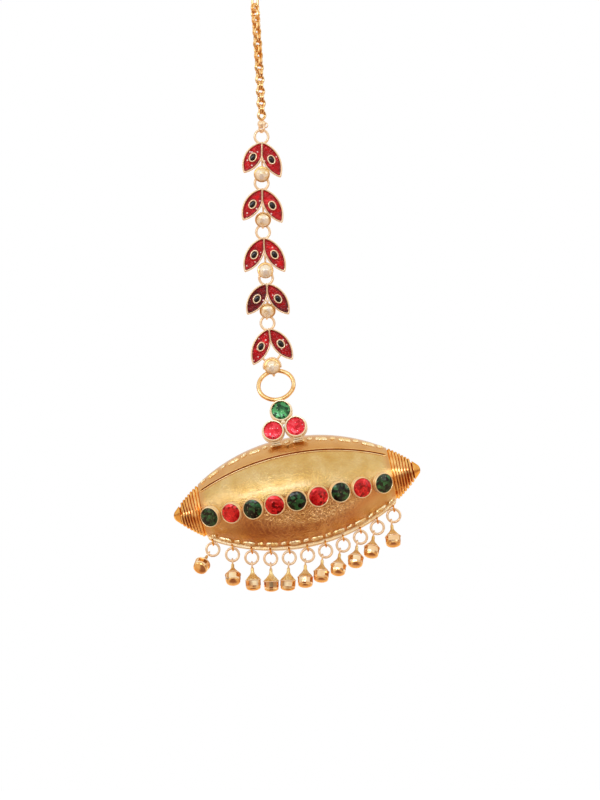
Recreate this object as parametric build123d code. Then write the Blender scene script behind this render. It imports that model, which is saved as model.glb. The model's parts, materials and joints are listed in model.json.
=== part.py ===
from build123d import *
import math
import os

# Maang tikka: a forehead jewel that hangs on a fine chain from a hook in the hair parting.
# Frame, in millimetres: +X to the viewer's right, -Y towards the viewer, +Z up.
# The origin is the inside top of the hair hook, where the jewel hangs.

# ---- driving dimensions -------------------------------------------------------------------

GAP = 0.05                      # between a set piece and its seat
SEAT_GAP = 0.12                 # between a ring and the eye that carries it
SINK = 0.1                      # how far joined shapes run into each other
CUT_BEYOND = 1.0                # how far a cut runs past the surface
BIG = 40.0                      # larger than any leaf link

HOOK_WIRE_R = 0.35
HOOK_HALF_WIDTH = 2.85          # from the hook's middle to the centre of each leg
HOOK_BEND_R = 2.6
HOOK_NECK_BEND_R = 1.6
HOOK_FOOT_BEND_R = 0.6
HOOK_TIP_Z = -8.0
HOOK_TIP_FLARE = 0.5            # how far the back leg's tip stands out
HOOK_NECK_Z = -5.2              # where the front leg turns back to the middle
HOOK_EYE_TOP = -8.2
HOOK_FOOT_RISE = 0.4            # from the top of the eye up to where the neck turns straight down
HOOK_FOOT_SINK = 0.2
HOOK_EYE_LENGTH = 3.1
HOOK_EYE_WIDTH = 2.0
HOOK_EYE_WIRE_R = 0.3

CHAIN_R = 1.2
CHAIN_ROUTE = [(0.0, 0.0, -11.45), (0.52, 0.0, -21.15), (1.0, 0.0, -31.3), (1.32, 0.0, -40.4)]
CHAIN_ARC_SHARE = 0.45          # of the shorter run beside it, taken by each arc
CHAIN_BEAD_R = 1.15
CHAIN_EYE_R = 1.0               # centreline of the eye under the bead
CHAIN_EYE_WIRE_R = 0.28
CHAIN_EYE_TURN = 38             # degrees, about the vertical
CHAIN_BEAD_RISE = 0.15          # of the bead's middle over the top of the eye

PLATE_BACK = 0.6                # y of a leaf link's back
PLATE_FLOOR = -0.05             # y of the floor under the enamel
RIM_FRONT = -0.6                # y of the rims' front
ENAMEL_FRONT = -0.47
RIM = 0.42
LEAF_WIDTH = 4.5
EYE_OUTER = (1.02, 1.32)        # half sizes of the gold oval round a leaf's eye
EYE_INNER = (0.68, 0.97)
EYE_FRONT = -0.55
LINK_RING_R = 1.85              # centreline
LINK_WIRE_R = 0.25
LINK_RING_RISE = 1.3            # from the leaves' common point up to the ring's centre
LINK_RING_SHIFT = -0.2          # of the ring's centre to the right of that point
LINK_RING_Y = 0.3
DISC_R = 2.1
DISC_BACK = -0.4
DISC_FRONT = -1.0
DOME_R = 1.7
DOME_HEIGHT = 0.85
DOME_EDGE = 0.2                 # of the cutting disc beyond the dome
CLAW_WIRE_R = 0.3
CLAW_R = 0.85                   # centreline of the claw behind a disc
CLAW_FRONT_RISE = 0.3           # least rise of a claw's front leg
CLAW_BACK_RISE = 0.7
PENDANT_CLAW_R = 1.15           # the same on the lowest link, which holds the big ring
PENDANT_CLAW_WIRE_R = 0.35
FORK_DROP = 5.0                 # from the leaves' common point down to the fork
STEM_START = 1.0                # of the stem above the disc's middle
STEM_WIDTH = 0.9
FORK_BEAD_R = 0.52
STEM_BACK = 0.35
STEM_FRONT = -0.5
COLLAR_R = 2.2                  # wire collar round the lowest disc
COLLAR_WIRE_R = 0.3
COLLAR_Y = -0.25
COLLAR_OPEN = 0.3               # the collar is open further than this below the disc's middle
PRONG_R = 0.3
PRONG_Y = 0.25
PRONG_LENGTH = 1.9
PRONG_SPREAD = 42               # degrees, of each of the collar's two prongs from straight up

# x and z of the leaves' common point, tilt (right tip down), half the angle between the
# leaves, left and right leaf length, x and z of the domed disc
LINKS = [
    (1.85, -46.37, 1.5, 29.0, 9.5, 10.6, 1.80, -54.83),
    (1.91, -58.49, 0.6, 30.5, 9.9, 10.5, 2.11, -66.50),
    (2.32, -71.28, -1.3, 30.0, 10.5, 10.7, 2.74, -80.03),
    (3.11, -83.26, -1.6, 33.5, 9.8, 10.1, 3.29, -90.23),
    (3.63, -95.01, -7.0, 30.0, 10.6, 10.4, 4.49, -105.07),
]

PIVOT = (4.78, 0.7, -106.24)    # centre of the big ring's wire at its top
PENDANT_TURN = -11              # degrees about Y: the drum's right end is the higher one
DRUM_DROP = 32.48               # from the pivot to the drum's axis
DRUM_BACK = 2.0                 # how far the drum's axis lies behind the pivot
HEAD_LEAN = 14.5                # degrees: the ring and the head lean back at the top

DRUM_R = 14.65
DRUM_CURVE_R = 45.7             # radius of the arc that is turned about the drum's axis
DRUM_HALF_LENGTH = 32.35        # to where the rounded tips begin
WALL = 0.5
CAVITY_HALF_LENGTH = 24.6
CONE_CAVITY_HALF_LENGTH = 29.5
CONE_WALL = 1.0
WINDING_START = 25.1
WINDING_END = 31.0
WINDING_DEPTH = 0.5
WINDING_TURNS = 8
WINDING_GROOVE = -0.12          # height of the grooves between turns over the cone
WINDING_CREST = 0.16
WINDING_CLEARED = 3.0

SLIT_ANGLE = 46                 # degrees above the front, round the drum's axis
SLIT_LENGTH = 48.6
SLIT_WIDTH = 0.5
LIP_LENGTH = 49.4
LIP_WIDTH = 1.2
LIP_HEIGHT = 0.22
TRIM_ANGLES = (67, -58)
TRIM_PITCH = 5.9
TRIM_HEIGHT = 0.35
TRIM_LUMPS = 8
TRIM_LUMP_LENGTH = 3.2
TRIM_LUMP_WIDTH = 0.9
TRIM_LEAVES = 9
TRIM_LEAF_LENGTH = 1.5
TRIM_LEAF_WIDTH = 0.5
TRIM_LEAF_TURN = 28
TRIM_LEAF_SHIFT = 0.35
STRIP_ANGLE = -67
STRIP_LENGTH = 49.8
STRIP_THICKNESS = 0.8
STRIP_HEIGHT = 0.75

ROW_COUNT = 9
ROW_PITCH = 5.66
ROW_SHIFT = -0.4                # of the row's middle along the drum
ROW_DROP = 1.5                  # of the row below the drum's axis, seen from the front
CUP_R = 2.68
CUP_BORE_R = 2.42
CUP_HEIGHT = 1.0
CUP_FLOOR = 0.3
CUP_FOOT = -0.55                # how deep a cup starts below the drum's surface
HEAD_CUP_R = 2.83
HEAD_CUP_BORE_R = 2.48
HEAD_BASE_R = 3.02
HEAD_SIDE = 3.0                 # of the two red cups from the middle
HEAD_GREEN_DROP = 10.95         # from the pivot, along the leaning head
HEAD_RED_DROP = 15.9
HEAD_CUP_FRONT = 1.0
HEAD_CUP_STEP = -0.4
HEAD_CUP_BACK = -1.2
HEAD_CUP_FLOOR = -0.1
HEAD_BEAD_R = 0.7
HEAD_BEAD_Y = -0.8
HEAD_FOOT = (2.6, 3.4, 3.0)     # the block between a red cup and the drum
HEAD_FOOT_Y = -5.6
HEAD_FOOT_Z = 14.1
STONE_GIRDLE = 0.45
STONE_CROWN = 0.55
STONE_TABLE = 0.55              # of the girdle's radius
STONE_SIDES = 12

RING_HALF_WIDTH = 4.6           # centreline of the big ring
RING_HALF_HEIGHT = 3.9
RING_SIDE_R = 3.4
RING_WIRE_R = 0.5

EYELET_COUNT = 11
EYELET_PITCH = 4.8
EYELET_R = 0.75                 # centreline
EYELET_REACH = 0.25             # least distance of an eyelet's centre from the strip
JUMP_RING_R = 1.75              # centreline
JUMP_WIRE_R = 0.25
JUMP_CLEARANCE = 0.12           # between a jump ring and the strip beside it
DROP_BELT_R = 2.0
DROP_BELT_HALF_HEIGHT = 0.85
DROP_FOOT = 1.75                # from the belt's middle down to the lowest point
DROP_FOOT_ARC = (1.35, -1.45)   # a point of the round foot
DROP_CAP_R = 2.12
DROP_CAP_EDGE = 0.15
DROP_CONE_TOP = (0.62, 2.75)
DROP_NECK = (0.42, 3.2)
DROP_EYE_TO_BELT = 5.0

# for each drop, in degrees: where its eye hangs on its ring, counted from the ring's lowest point,
# and how far it leans, both to the viewer's right, and how far it tilts towards the viewer
DROP_HANGS = [(-45, -30, 50), (0, 3, 34), (2, 4, 5), (0, 2, 0), (-6, -2, 0), (-20, 0, 12), (-28, -4, 22),
              (-30, -6, 26), (-30, -6, 28), (-32, -8, 26), (-20, 5, 22)]


# ---- helpers ------------------------------------------------------------------------------

def save(shape, node):
    export_step(shape, "parts/" + node + ".step")


def slab(face, y_back, y_front):
    """A flat plate: the face's x and y become X and Z, between two depths."""
    return extrude(Plane.XZ.offset(-y_back) * face, y_back - y_front)


def upright_ring(radius, wire_radius):
    """A round wire ring in the XZ plane."""
    return Rot(90, 0, 0) * Torus(radius, wire_radius)


def edgewise_ring(radius, wire_radius):
    """A round wire ring in the YZ plane."""
    return Rot(0, 90, 0) * Torus(radius, wire_radius)


def wire_along(path, radius):
    """Round wire along a path of lines and arcs."""
    section = Plane(origin=path @ 0, z_dir=path % 0) * Circle(radius)
    return sweep(section, path=path)


def turned_about_x(profile):
    return revolve(profile, Axis.X, 360)


# ---- hook, chain and bead -----------------------------------------------------------------

def hair_hook():
    top = HOOK_WIRE_R
    path = FilletPolyline(
        (0, HOOK_HALF_WIDTH + HOOK_TIP_FLARE, HOOK_TIP_Z),
        (0, HOOK_HALF_WIDTH, top),
        (0, -HOOK_HALF_WIDTH, top),
        (0, -HOOK_HALF_WIDTH, HOOK_NECK_Z),
        (0, 0, HOOK_EYE_TOP + HOOK_FOOT_RISE),
        (0, 0, HOOK_EYE_TOP - HOOK_FOOT_SINK),
        radius=[HOOK_BEND_R, HOOK_BEND_R, HOOK_NECK_BEND_R, HOOK_FOOT_BEND_R],
    )
    tip = Pos(0, HOOK_HALF_WIDTH + HOOK_TIP_FLARE, HOOK_TIP_Z) * Sphere(HOOK_WIRE_R)
    return wire_along(path, HOOK_WIRE_R) + tip + hook_eye()


def hook_eye():
    """The long eye at the hook's foot, in the XZ plane."""
    side = HOOK_EYE_WIDTH / 2 - HOOK_EYE_WIRE_R
    high = HOOK_EYE_TOP - HOOK_EYE_WIDTH / 2
    low = HOOK_EYE_TOP - HOOK_EYE_LENGTH + HOOK_EYE_WIDTH / 2
    path = Wire([
        Line((side, 0, low), (side, 0, high)),
        ThreePointArc((side, 0, high), (0, 0, high + side), (-side, 0, high)),
        Line((-side, 0, high), (-side, 0, low)),
        ThreePointArc((-side, 0, low), (0, 0, low - side), (side, 0, low)),
    ])
    return wire_along(path, HOOK_EYE_WIRE_R)


def chain():
    """The fine cable chain as one tube, with arcs as large as its runs allow."""
    points = [Vector(*point) for point in CHAIN_ROUTE]
    runs = [end - start for start, end in zip(points, points[1:])]
    radii = []
    for before, after in zip(runs, runs[1:]):
        half_turn = math.radians(before.get_angle(after)) / 2
        radii.append(CHAIN_ARC_SHARE * min(before.length, after.length) / math.tan(half_turn))
    print("chain radii:", [round(radius, 1) for radius in radii])
    path = FilletPolyline(*CHAIN_ROUTE, radius=radii)
    tube = wire_along(path, CHAIN_R)
    print("chain volume:", round(tube.volume, 2), "section x length:",
          round(math.pi * CHAIN_R ** 2 * path.length, 2))
    return tube


def chain_bead(eye_x, eye_z):
    bead_z = eye_z + CHAIN_EYE_R + CHAIN_BEAD_RISE
    eye = Rot(0, 0, CHAIN_EYE_TURN) * edgewise_ring(CHAIN_EYE_R, CHAIN_EYE_WIRE_R)
    return Pos(eye_x, LINK_RING_Y, bead_z) * Sphere(CHAIN_BEAD_R) + Pos(eye_x, LINK_RING_Y, eye_z) * eye


# ---- leaf links ---------------------------------------------------------------------------

def leaf(length, inset=0.0):
    """A pointed oval that hangs down from the origin; inset draws its edge inwards."""
    half_length = length / 2
    half_width = LEAF_WIDTH / 2
    arc_radius = (half_length ** 2 + half_width ** 2) / (2 * half_width)
    reach = math.sqrt((arc_radius - inset) ** 2 - (arc_radius - half_width) ** 2)
    top = (0, reach - half_length)
    bottom = (0, -reach - half_length)
    right = ThreePointArc(top, (half_width - inset, -half_length), bottom)
    left = ThreePointArc(bottom, (inset - half_width, -half_length), top)
    return make_face([right, left])


def oval(half_sizes, grow=0.0):
    return Ellipse(half_sizes[0] + grow, half_sizes[1] + grow)


def leaf_faces(side, spread, length):
    """Outline, hollow, gold oval and black oval of one leaf; side is -1 left, 1 right."""
    turn = Rot(0, 0, side * spread)
    middle = turn * Pos(0, -length / 2)
    half_plane = Pos(side * BIG / 2, 0) * Rectangle(BIG, BIG)
    inner_half_plane = Pos(side * RIM / 2) * half_plane
    return {
        "outline": turn * leaf(length),
        "hollow": (turn * leaf(length, RIM)) & inner_half_plane,
        "enamel": (turn * leaf(length, RIM + GAP)) & (Pos(side * GAP) * inner_half_plane),
        "ring_outside": middle * oval(EYE_OUTER),
        "ring_cleared": middle * oval(EYE_OUTER, GAP),
        "ring_inside": middle * oval(EYE_INNER),
        "dot": middle * oval(EYE_INNER, -GAP),
    }


def claw(radius, wire_radius, front_rise, back_rise):
    """A wire claw in the YZ plane round the origin, open at the top."""
    path = Wire([
        Line((0, -radius, front_rise), (0, -radius, 0)),
        ThreePointArc((0, -radius, 0), (0, 0, -radius), (0, radius, 0)),
        Line((0, radius, 0), (0, radius, back_rise)),
    ])
    return wire_along(path, wire_radius)


def domed_disc():
    plate = slab(Circle(DISC_R), DISC_BACK, DISC_FRONT)
    dome_radius = (DOME_R ** 2 + DOME_HEIGHT ** 2) / (2 * DOME_HEIGHT)
    ball = Pos(0, DISC_FRONT - DOME_HEIGHT + dome_radius, 0) * Sphere(dome_radius)
    front = slab(Circle(DOME_R + DOME_EDGE), DISC_FRONT + SINK, DISC_FRONT - 2 * DOME_HEIGHT)
    return plate + (ball & front)


def link_place(row):
    return Location((row[0], 0, row[1]), (0, row[2], 0))


def link_ring_top(row):
    """Centre of the wire at the top of a link's small ring."""
    top = Pos(LINK_RING_SHIFT, LINK_RING_Y, LINK_RING_RISE + LINK_RING_R)
    return (link_place(row) * top).position


def leaf_link(row, last, claw_point):
    tilt, spread = row[2], row[3]
    left = leaf_faces(-1, spread, row[4])
    right = leaf_faces(1, spread, row[5])
    link = slab(left["outline"] + right["outline"], PLATE_BACK, RIM_FRONT)
    for faces in (left, right):
        link -= slab(faces["hollow"] - faces["ring_outside"], PLATE_FLOOR, RIM_FRONT - CUT_BEYOND)
        link -= slab(faces["ring_inside"], PLATE_FLOOR, RIM_FRONT - CUT_BEYOND)
    ring_middle = Pos(LINK_RING_SHIFT, LINK_RING_Y, LINK_RING_RISE)
    link += ring_middle * upright_ring(LINK_RING_R, LINK_WIRE_R)
    link = link_place(row) * link

    disc_place = Location((row[6], 0, row[7]), (0, tilt, 0))
    fork = link_place(row) * Pos(0, 0, -FORK_DROP)
    stem_length = fork.position.Z - row[7] - STEM_START + STEM_WIDTH / 2
    link += disc_place * domed_disc()
    if last:
        opening = Pos(0, 0, -COLLAR_R - COLLAR_OPEN) * Box(BIG, BIG, 2 * COLLAR_R)
        collar = upright_ring(COLLAR_R, COLLAR_WIRE_R) - opening
        link += disc_place * Pos(0, COLLAR_Y, 0) * collar
        for side in (-1, 1):
            prong_middle = COLLAR_R - COLLAR_WIRE_R + PRONG_LENGTH / 2
            prong = Rot(0, side * PRONG_SPREAD, 0) * Pos(0, PRONG_Y, prong_middle)
            link += disc_place * prong * Cylinder(PRONG_R, PRONG_LENGTH)
    else:
        stem = Pos(0, STEM_START + stem_length / 2) * Rectangle(STEM_WIDTH, stem_length)
        link += disc_place * slab(stem, STEM_BACK, STEM_FRONT)
        link += fork * Pos(0, RIM_FRONT, 0) * Sphere(FORK_BEAD_R)

    radius = PENDANT_CLAW_R if last else CLAW_R
    wire_radius = PENDANT_CLAW_WIRE_R if last else CLAW_WIRE_R
    front_rise = max(row[7] - claw_point.Z, CLAW_FRONT_RISE)
    hanger = claw(radius, wire_radius, front_rise, CLAW_BACK_RISE)
    link += Location(tuple(claw_point), (0, tilt, 0)) * hanger
    return link


def enamel(row, side):
    faces = leaf_faces(side, row[3], row[4] if side < 0 else row[5])
    filling = slab(faces["enamel"] - faces["ring_cleared"], PLATE_FLOOR - GAP, ENAMEL_FRONT)
    return link_place(row) * filling


def eye_dots(row):
    dots = []
    for side, length in ((-1, row[4]), (1, row[5])):
        face = leaf_faces(side, row[3], length)["dot"]
        dots.append(link_place(row) * slab(face, PLATE_FLOOR - GAP, EYE_FRONT))
    return Compound(children=dots)


# ---- pendant, in its own frame: X along the drum's axis, origin at the drum's middle --------

AXIS_DROP = DRUM_CURVE_R - DRUM_R


def drum_radius(u, offset=0.0):
    return math.sqrt((DRUM_CURVE_R + offset) ** 2 - u ** 2) - AXIS_DROP


def drum_slope(u):
    return math.degrees(math.asin(u / DRUM_CURVE_R))


def spindle(offset, half_length):
    """The drum's turned form grown by offset, with flat ends at half_length."""
    radius = drum_radius(half_length, offset)
    arc = ThreePointArc((-half_length, radius), (0, DRUM_R + offset), (half_length, radius))
    rest = Polyline((half_length, radius), (half_length, 0), (-half_length, 0), (-half_length, radius))
    return turned_about_x(make_face([arc] + rest.edges()))


def drum_body():
    """The drum's outside with its rounded tips."""
    slope = drum_slope(DRUM_HALF_LENGTH)
    radius = drum_radius(DRUM_HALF_LENGTH)
    tip_radius = radius / math.cos(math.radians(slope))
    tip_middle = DRUM_HALF_LENGTH - radius * math.tan(math.radians(slope))
    half = math.radians((90 - slope) / 2)
    end = (tip_middle + tip_radius, 0)
    bulge = (tip_middle + tip_radius * math.cos(half), tip_radius * math.sin(half))
    join = (DRUM_HALF_LENGTH, radius)
    right = ThreePointArc(join, bulge, end)
    left = ThreePointArc((-join[0], join[1]), (-bulge[0], bulge[1]), (-end[0], 0))
    middle = ThreePointArc((-join[0], join[1]), (0, DRUM_R), join)
    base = Line((-end[0], 0), end)
    return turned_about_x(make_face([left, middle, right, base]))


def winding_band(bottom_offset, top_offset):
    """The stretch of the right cone that the wire winding takes."""
    corners = []
    for u, offset in ((WINDING_START, bottom_offset), (WINDING_END, bottom_offset),
                      (WINDING_END, top_offset), (WINDING_START, top_offset)):
        corners.append((u, drum_radius(u, offset)))
    return turned_about_x(make_face(Polyline(*corners, corners[0])))


def winding():
    """Touching turns of wire round the right cone."""
    pitch = (WINDING_END - WINDING_START - 2 * GAP) / WINDING_TURNS
    first = WINDING_START + GAP
    edges = []
    for turn in range(WINDING_TURNS):
        start, end = first + turn * pitch, first + (turn + 1) * pitch
        middle = (start + end) / 2
        edges.append(ThreePointArc((start, drum_radius(start, WINDING_GROOVE)),
                                   (middle, drum_radius(middle, WINDING_CREST)),
                                   (end, drum_radius(end, WINDING_GROOVE))))
    last = WINDING_END - GAP
    inner = GAP - WINDING_DEPTH
    edges += Polyline((last, drum_radius(last, WINDING_GROOVE)), (last, drum_radius(last, inner)),
                      (first, drum_radius(first, inner)),
                      (first, drum_radius(first, WINDING_GROOVE))).edges()
    return turned_about_x(make_face(edges))


def round_to(angle):
    """Turns what is made at the drum's front up by an angle round its axis."""
    return Rot(-angle, 0, 0)


def surface_place(u, angle):
    """A place on the drum's surface with its z axis along the outward normal."""
    slope = math.radians(drum_slope(u))
    plane = Plane(origin=(u, -drum_radius(u), 0), x_dir=(math.cos(slope), math.sin(slope), 0),
                  z_dir=(math.sin(slope), -math.cos(slope), 0))
    return round_to(angle) * plane.location


def row_places():
    places = []
    for index in range(ROW_COUNT):
        u = ROW_SHIFT + (index - (ROW_COUNT - 1) / 2) * ROW_PITCH
        angle = -math.degrees(math.asin(ROW_DROP / drum_radius(u)))
        places.append(surface_place(u, angle))
    return places


def on_drum(face, height):
    """A prism from the drum's axis out to the front, trimmed to a height above the surface."""
    return extrude(Plane.XZ * face, 2 * DRUM_R) & spindle(height, WINDING_START)


def trim():
    """A row of long lumps, with a small slanting leaf between each two, along x in the plane."""
    shapes = []
    for index in range(TRIM_LUMPS):
        u = (index - (TRIM_LUMPS - 1) / 2) * TRIM_PITCH
        shapes.append(Pos(u, 0) * SlotOverall(TRIM_LUMP_LENGTH, TRIM_LUMP_WIDTH))
    for index in range(TRIM_LEAVES):
        u = (index - (TRIM_LEAVES - 1) / 2) * TRIM_PITCH
        leaf_turn = Rot(0, 0, TRIM_LEAF_TURN)
        shapes.append(Pos(u, TRIM_LEAF_SHIFT) * leaf_turn * SlotOverall(TRIM_LEAF_LENGTH, TRIM_LEAF_WIDTH))
    return shapes


def head_place():
    """The leaning plane of the big ring and the head, from the pivot down."""
    return Pos(0, -DRUM_BACK, DRUM_DROP) * Rot(-HEAD_LEAN, 0, 0)


def head_cup_places():
    spots = ((0, HEAD_GREEN_DROP), (-HEAD_SIDE, HEAD_RED_DROP), (HEAD_SIDE, HEAD_RED_DROP))
    return [head_place() * Pos(x, 0, -drop) * Rot(90, 0, 0) for x, drop in spots]


def upright_cylinder(radius, bottom, top):
    return Pos(0, 0, (bottom + top) / 2) * Cylinder(radius, top - bottom)


def big_ring():
    """An oval wire ring of four tangent arcs in the XZ plane."""
    side_x = RING_HALF_WIDTH - RING_SIDE_R
    rise = RING_HALF_HEIGHT
    crown_r = (side_x ** 2 + rise ** 2 - RING_SIDE_R ** 2) / (2 * (rise - RING_SIDE_R))
    angle = math.atan2(crown_r - rise, side_x)
    join_x = side_x + RING_SIDE_R * math.cos(angle)
    join_z = RING_SIDE_R * math.sin(angle)
    path = Wire([
        ThreePointArc((join_x, 0, join_z), (0, 0, rise), (-join_x, 0, join_z)),
        ThreePointArc((-join_x, 0, join_z), (-RING_HALF_WIDTH, 0, 0), (-join_x, 0, -join_z)),
        ThreePointArc((-join_x, 0, -join_z), (0, 0, -rise), (join_x, 0, -join_z)),
        ThreePointArc((join_x, 0, -join_z), (RING_HALF_WIDTH, 0, 0), (join_x, 0, join_z)),
    ])
    return wire_along(path, RING_WIRE_R)


def eyelet_place(index):
    """Centre of an eyelet under the strip, in the pendant's frame."""
    u = (index - (EYELET_COUNT - 1) / 2) * EYELET_PITCH
    slope = math.radians(abs(drum_slope(u) - PENDANT_TURN))
    hang = JUMP_RING_R + SEAT_GAP
    reach = max(EYELET_REACH, JUMP_RING_R + JUMP_WIRE_R + JUMP_CLEARANCE - hang * math.cos(slope))
    return round_to(STRIP_ANGLE) * Pos(u, -drum_radius(u, STRIP_HEIGHT) - reach, 0)


def pendant_frame():
    body = drum_body()
    lips = on_drum(SlotOverall(LIP_LENGTH, LIP_WIDTH), LIP_HEIGHT)
    body += round_to(SLIT_ANGLE) * lips
    for angle in TRIM_ANGLES:
        for shape in trim():
            body += round_to(angle) * on_drum(shape, TRIM_HEIGHT)
    strip = on_drum(Rectangle(STRIP_LENGTH, STRIP_THICKNESS), STRIP_HEIGHT)
    body += round_to(STRIP_ANGLE) * strip
    for place in row_places():
        body += place * upright_cylinder(CUP_R, CUP_FOOT, CUP_HEIGHT)
    for side in (0, 180):
        body -= Rot(0, 0, side) * winding_band(-WINDING_DEPTH, WINDING_CLEARED)

    body += head_place() * Pos(0, 0, -RING_HALF_HEIGHT) * big_ring()
    for place in head_cup_places():
        body += place * upright_cylinder(HEAD_BASE_R, HEAD_CUP_BACK, HEAD_CUP_STEP)
        body += place * upright_cylinder(HEAD_CUP_R, HEAD_CUP_STEP - SINK, HEAD_CUP_FRONT)
    bead_drop = (HEAD_GREEN_DROP + 2 * HEAD_RED_DROP) / 3
    body += head_place() * Pos(0, HEAD_BEAD_Y, -bead_drop) * Sphere(HEAD_BEAD_R)
    for side in (-HEAD_SIDE, HEAD_SIDE):
        body += Pos(side, HEAD_FOOT_Y, HEAD_FOOT_Z) * Box(*HEAD_FOOT)

    body -= spindle(-WALL, CAVITY_HALF_LENGTH)
    body -= spindle(-CONE_WALL, CONE_CAVITY_HALF_LENGTH)
    body -= round_to(SLIT_ANGLE) * extrude(Plane.XZ * SlotOverall(SLIT_LENGTH, SLIT_WIDTH), 2 * DRUM_R)
    for place in row_places():
        body -= place * upright_cylinder(CUP_BORE_R, CUP_FLOOR, CUP_HEIGHT + CUT_BEYOND)
    for place in head_cup_places():
        body -= place * upright_cylinder(HEAD_CUP_BORE_R, HEAD_CUP_FLOOR, HEAD_CUP_FRONT + CUT_BEYOND)
    for index in range(EYELET_COUNT):
        body += eyelet_place(index) * edgewise_ring(EYELET_R, JUMP_WIRE_R)
    return body


def stone(radius, floor):
    """A cut stone with a straight girdle and a faceted crown."""
    bottom = floor + GAP
    girdle = Pos(0, 0, bottom) * extrude(RegularPolygon(radius, STONE_SIDES), STONE_GIRDLE)
    low = Pos(0, 0, bottom + STONE_GIRDLE) * RegularPolygon(radius, STONE_SIDES)
    high = Pos(0, 0, bottom + STONE_GIRDLE + STONE_CROWN) * RegularPolygon(radius * STONE_TABLE, STONE_SIDES)
    return girdle + loft([low.face(), high.face()])


def jump_ring():
    return upright_ring(JUMP_RING_R, JUMP_WIRE_R)


def drop():
    """A bell drop that hangs from its eye; the origin is the wire that carries it."""
    belt_low = (DROP_BELT_R, -DROP_BELT_HALF_HEIGHT)
    belt_high = (DROP_BELT_R, DROP_BELT_HALF_HEIGHT)
    neck_top = DROP_EYE_TO_BELT - EYELET_R
    foot = ThreePointArc((0, -DROP_FOOT), DROP_FOOT_ARC, belt_low)
    rest = Polyline(belt_low, belt_high, (DROP_CAP_R, belt_high[1]),
                    (DROP_CAP_R, belt_high[1] + DROP_CAP_EDGE), DROP_CONE_TOP, DROP_NECK,
                    (DROP_NECK[0], neck_top), (0, neck_top), (0, -DROP_FOOT))
    bell = revolve(Plane.XZ * make_face([foot] + rest.edges()), Axis.Z, 360)
    eye_drop = EYELET_R - 2 * JUMP_WIRE_R - SEAT_GAP
    eye = edgewise_ring(EYELET_R, JUMP_WIRE_R)
    return Pos(0, 0, -eye_drop) * (eye + Pos(0, 0, -DROP_EYE_TO_BELT) * bell)


def main():
    os.makedirs("parts", exist_ok=True)
    save(hair_hook(), "hair_hook")
    save(chain(), "chain")
    top = link_ring_top(LINKS[0])
    eye_z = top.Z + CHAIN_EYE_R - CHAIN_EYE_WIRE_R - LINK_WIRE_R - SEAT_GAP
    save(chain_bead(top.X, eye_z), "chain_bead")

    for number, row in enumerate(LINKS, start=1):
        last = number == len(LINKS)
        if last:
            claw_point = Vector(*PIVOT)
        else:
            rise = CLAW_R - CLAW_WIRE_R - LINK_WIRE_R - SEAT_GAP
            claw_point = link_ring_top(LINKS[number]) + Vector(0, 0, rise)
        save(leaf_link(row, last, claw_point), f"leaf_link_{number}")
        save(enamel(row, -1), f"enamel_left_{number}")
        save(enamel(row, 1), f"enamel_right_{number}")
        save(eye_dots(row), f"eye_dots_{number}")

    pendant = Location(PIVOT, (0, PENDANT_TURN, 0)) * Pos(0, DRUM_BACK, -DRUM_DROP)
    save(pendant * pendant_frame(), "pendant_frame")
    save(pendant * winding(), "winding_right")
    save(pendant * Rot(0, 0, 180) * winding(), "winding_left")
    for number, place in enumerate(row_places(), start=1):
        save(pendant * place * stone(CUP_BORE_R - GAP, CUP_FLOOR), f"stone_row_{number}")
    for name, place in zip(("green", "red_left", "red_right"), head_cup_places()):
        save(pendant * place * stone(HEAD_CUP_BORE_R - GAP, HEAD_CUP_FLOOR), f"stone_head_{name}")

    for index in range(EYELET_COUNT):
        eyelet = (pendant * eyelet_place(index)).position
        seat = EYELET_R - 2 * JUMP_WIRE_R - SEAT_GAP
        ring_middle = eyelet - Vector(0, 0, seat + JUMP_RING_R)
        save(Pos(*ring_middle) * jump_ring(), f"jump_ring_{index + 1}")
        hook, lean, tilt = DROP_HANGS[index]
        hook_point = Pos(*ring_middle) * Rot(0, -hook, 0) * Pos(0, 0, -JUMP_RING_R)
        hang = Pos(*hook_point.position) * Rot(0, -lean, 0) * Rot(-tilt, 0, 0)
        save(hang * drop(), f"drop_{index + 1}")


main()
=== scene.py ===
import json
import math
import random

import bmesh
import bpy
import numpy as np
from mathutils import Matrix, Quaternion, Vector, noise


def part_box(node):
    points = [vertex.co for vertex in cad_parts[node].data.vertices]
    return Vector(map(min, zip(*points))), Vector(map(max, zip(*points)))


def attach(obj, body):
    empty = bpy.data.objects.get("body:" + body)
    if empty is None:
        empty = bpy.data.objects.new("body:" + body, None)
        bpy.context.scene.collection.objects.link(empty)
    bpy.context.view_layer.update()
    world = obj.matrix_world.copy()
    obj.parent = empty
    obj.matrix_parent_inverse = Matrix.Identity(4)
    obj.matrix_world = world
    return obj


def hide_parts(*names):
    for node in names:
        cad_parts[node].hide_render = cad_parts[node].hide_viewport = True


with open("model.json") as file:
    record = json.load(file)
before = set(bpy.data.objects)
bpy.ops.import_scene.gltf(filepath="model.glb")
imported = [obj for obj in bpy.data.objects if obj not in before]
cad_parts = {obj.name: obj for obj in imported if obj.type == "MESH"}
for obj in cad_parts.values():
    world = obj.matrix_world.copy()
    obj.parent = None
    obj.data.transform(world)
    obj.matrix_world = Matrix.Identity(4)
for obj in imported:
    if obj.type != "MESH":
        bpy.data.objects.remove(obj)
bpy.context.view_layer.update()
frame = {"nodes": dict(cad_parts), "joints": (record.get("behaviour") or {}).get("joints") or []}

# The looks of a maang tikka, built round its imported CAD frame. Shapes are worked out in
# millimetres and written in metres. +X is the viewer's right, -Y is towards the viewer, +Z is up.
# A place is a 4x4 matrix from a part's own frame to the row frame.

MM = 0.001
random.seed(11)

# ---- sizes that the CAD part has too, in millimetres ----

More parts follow.
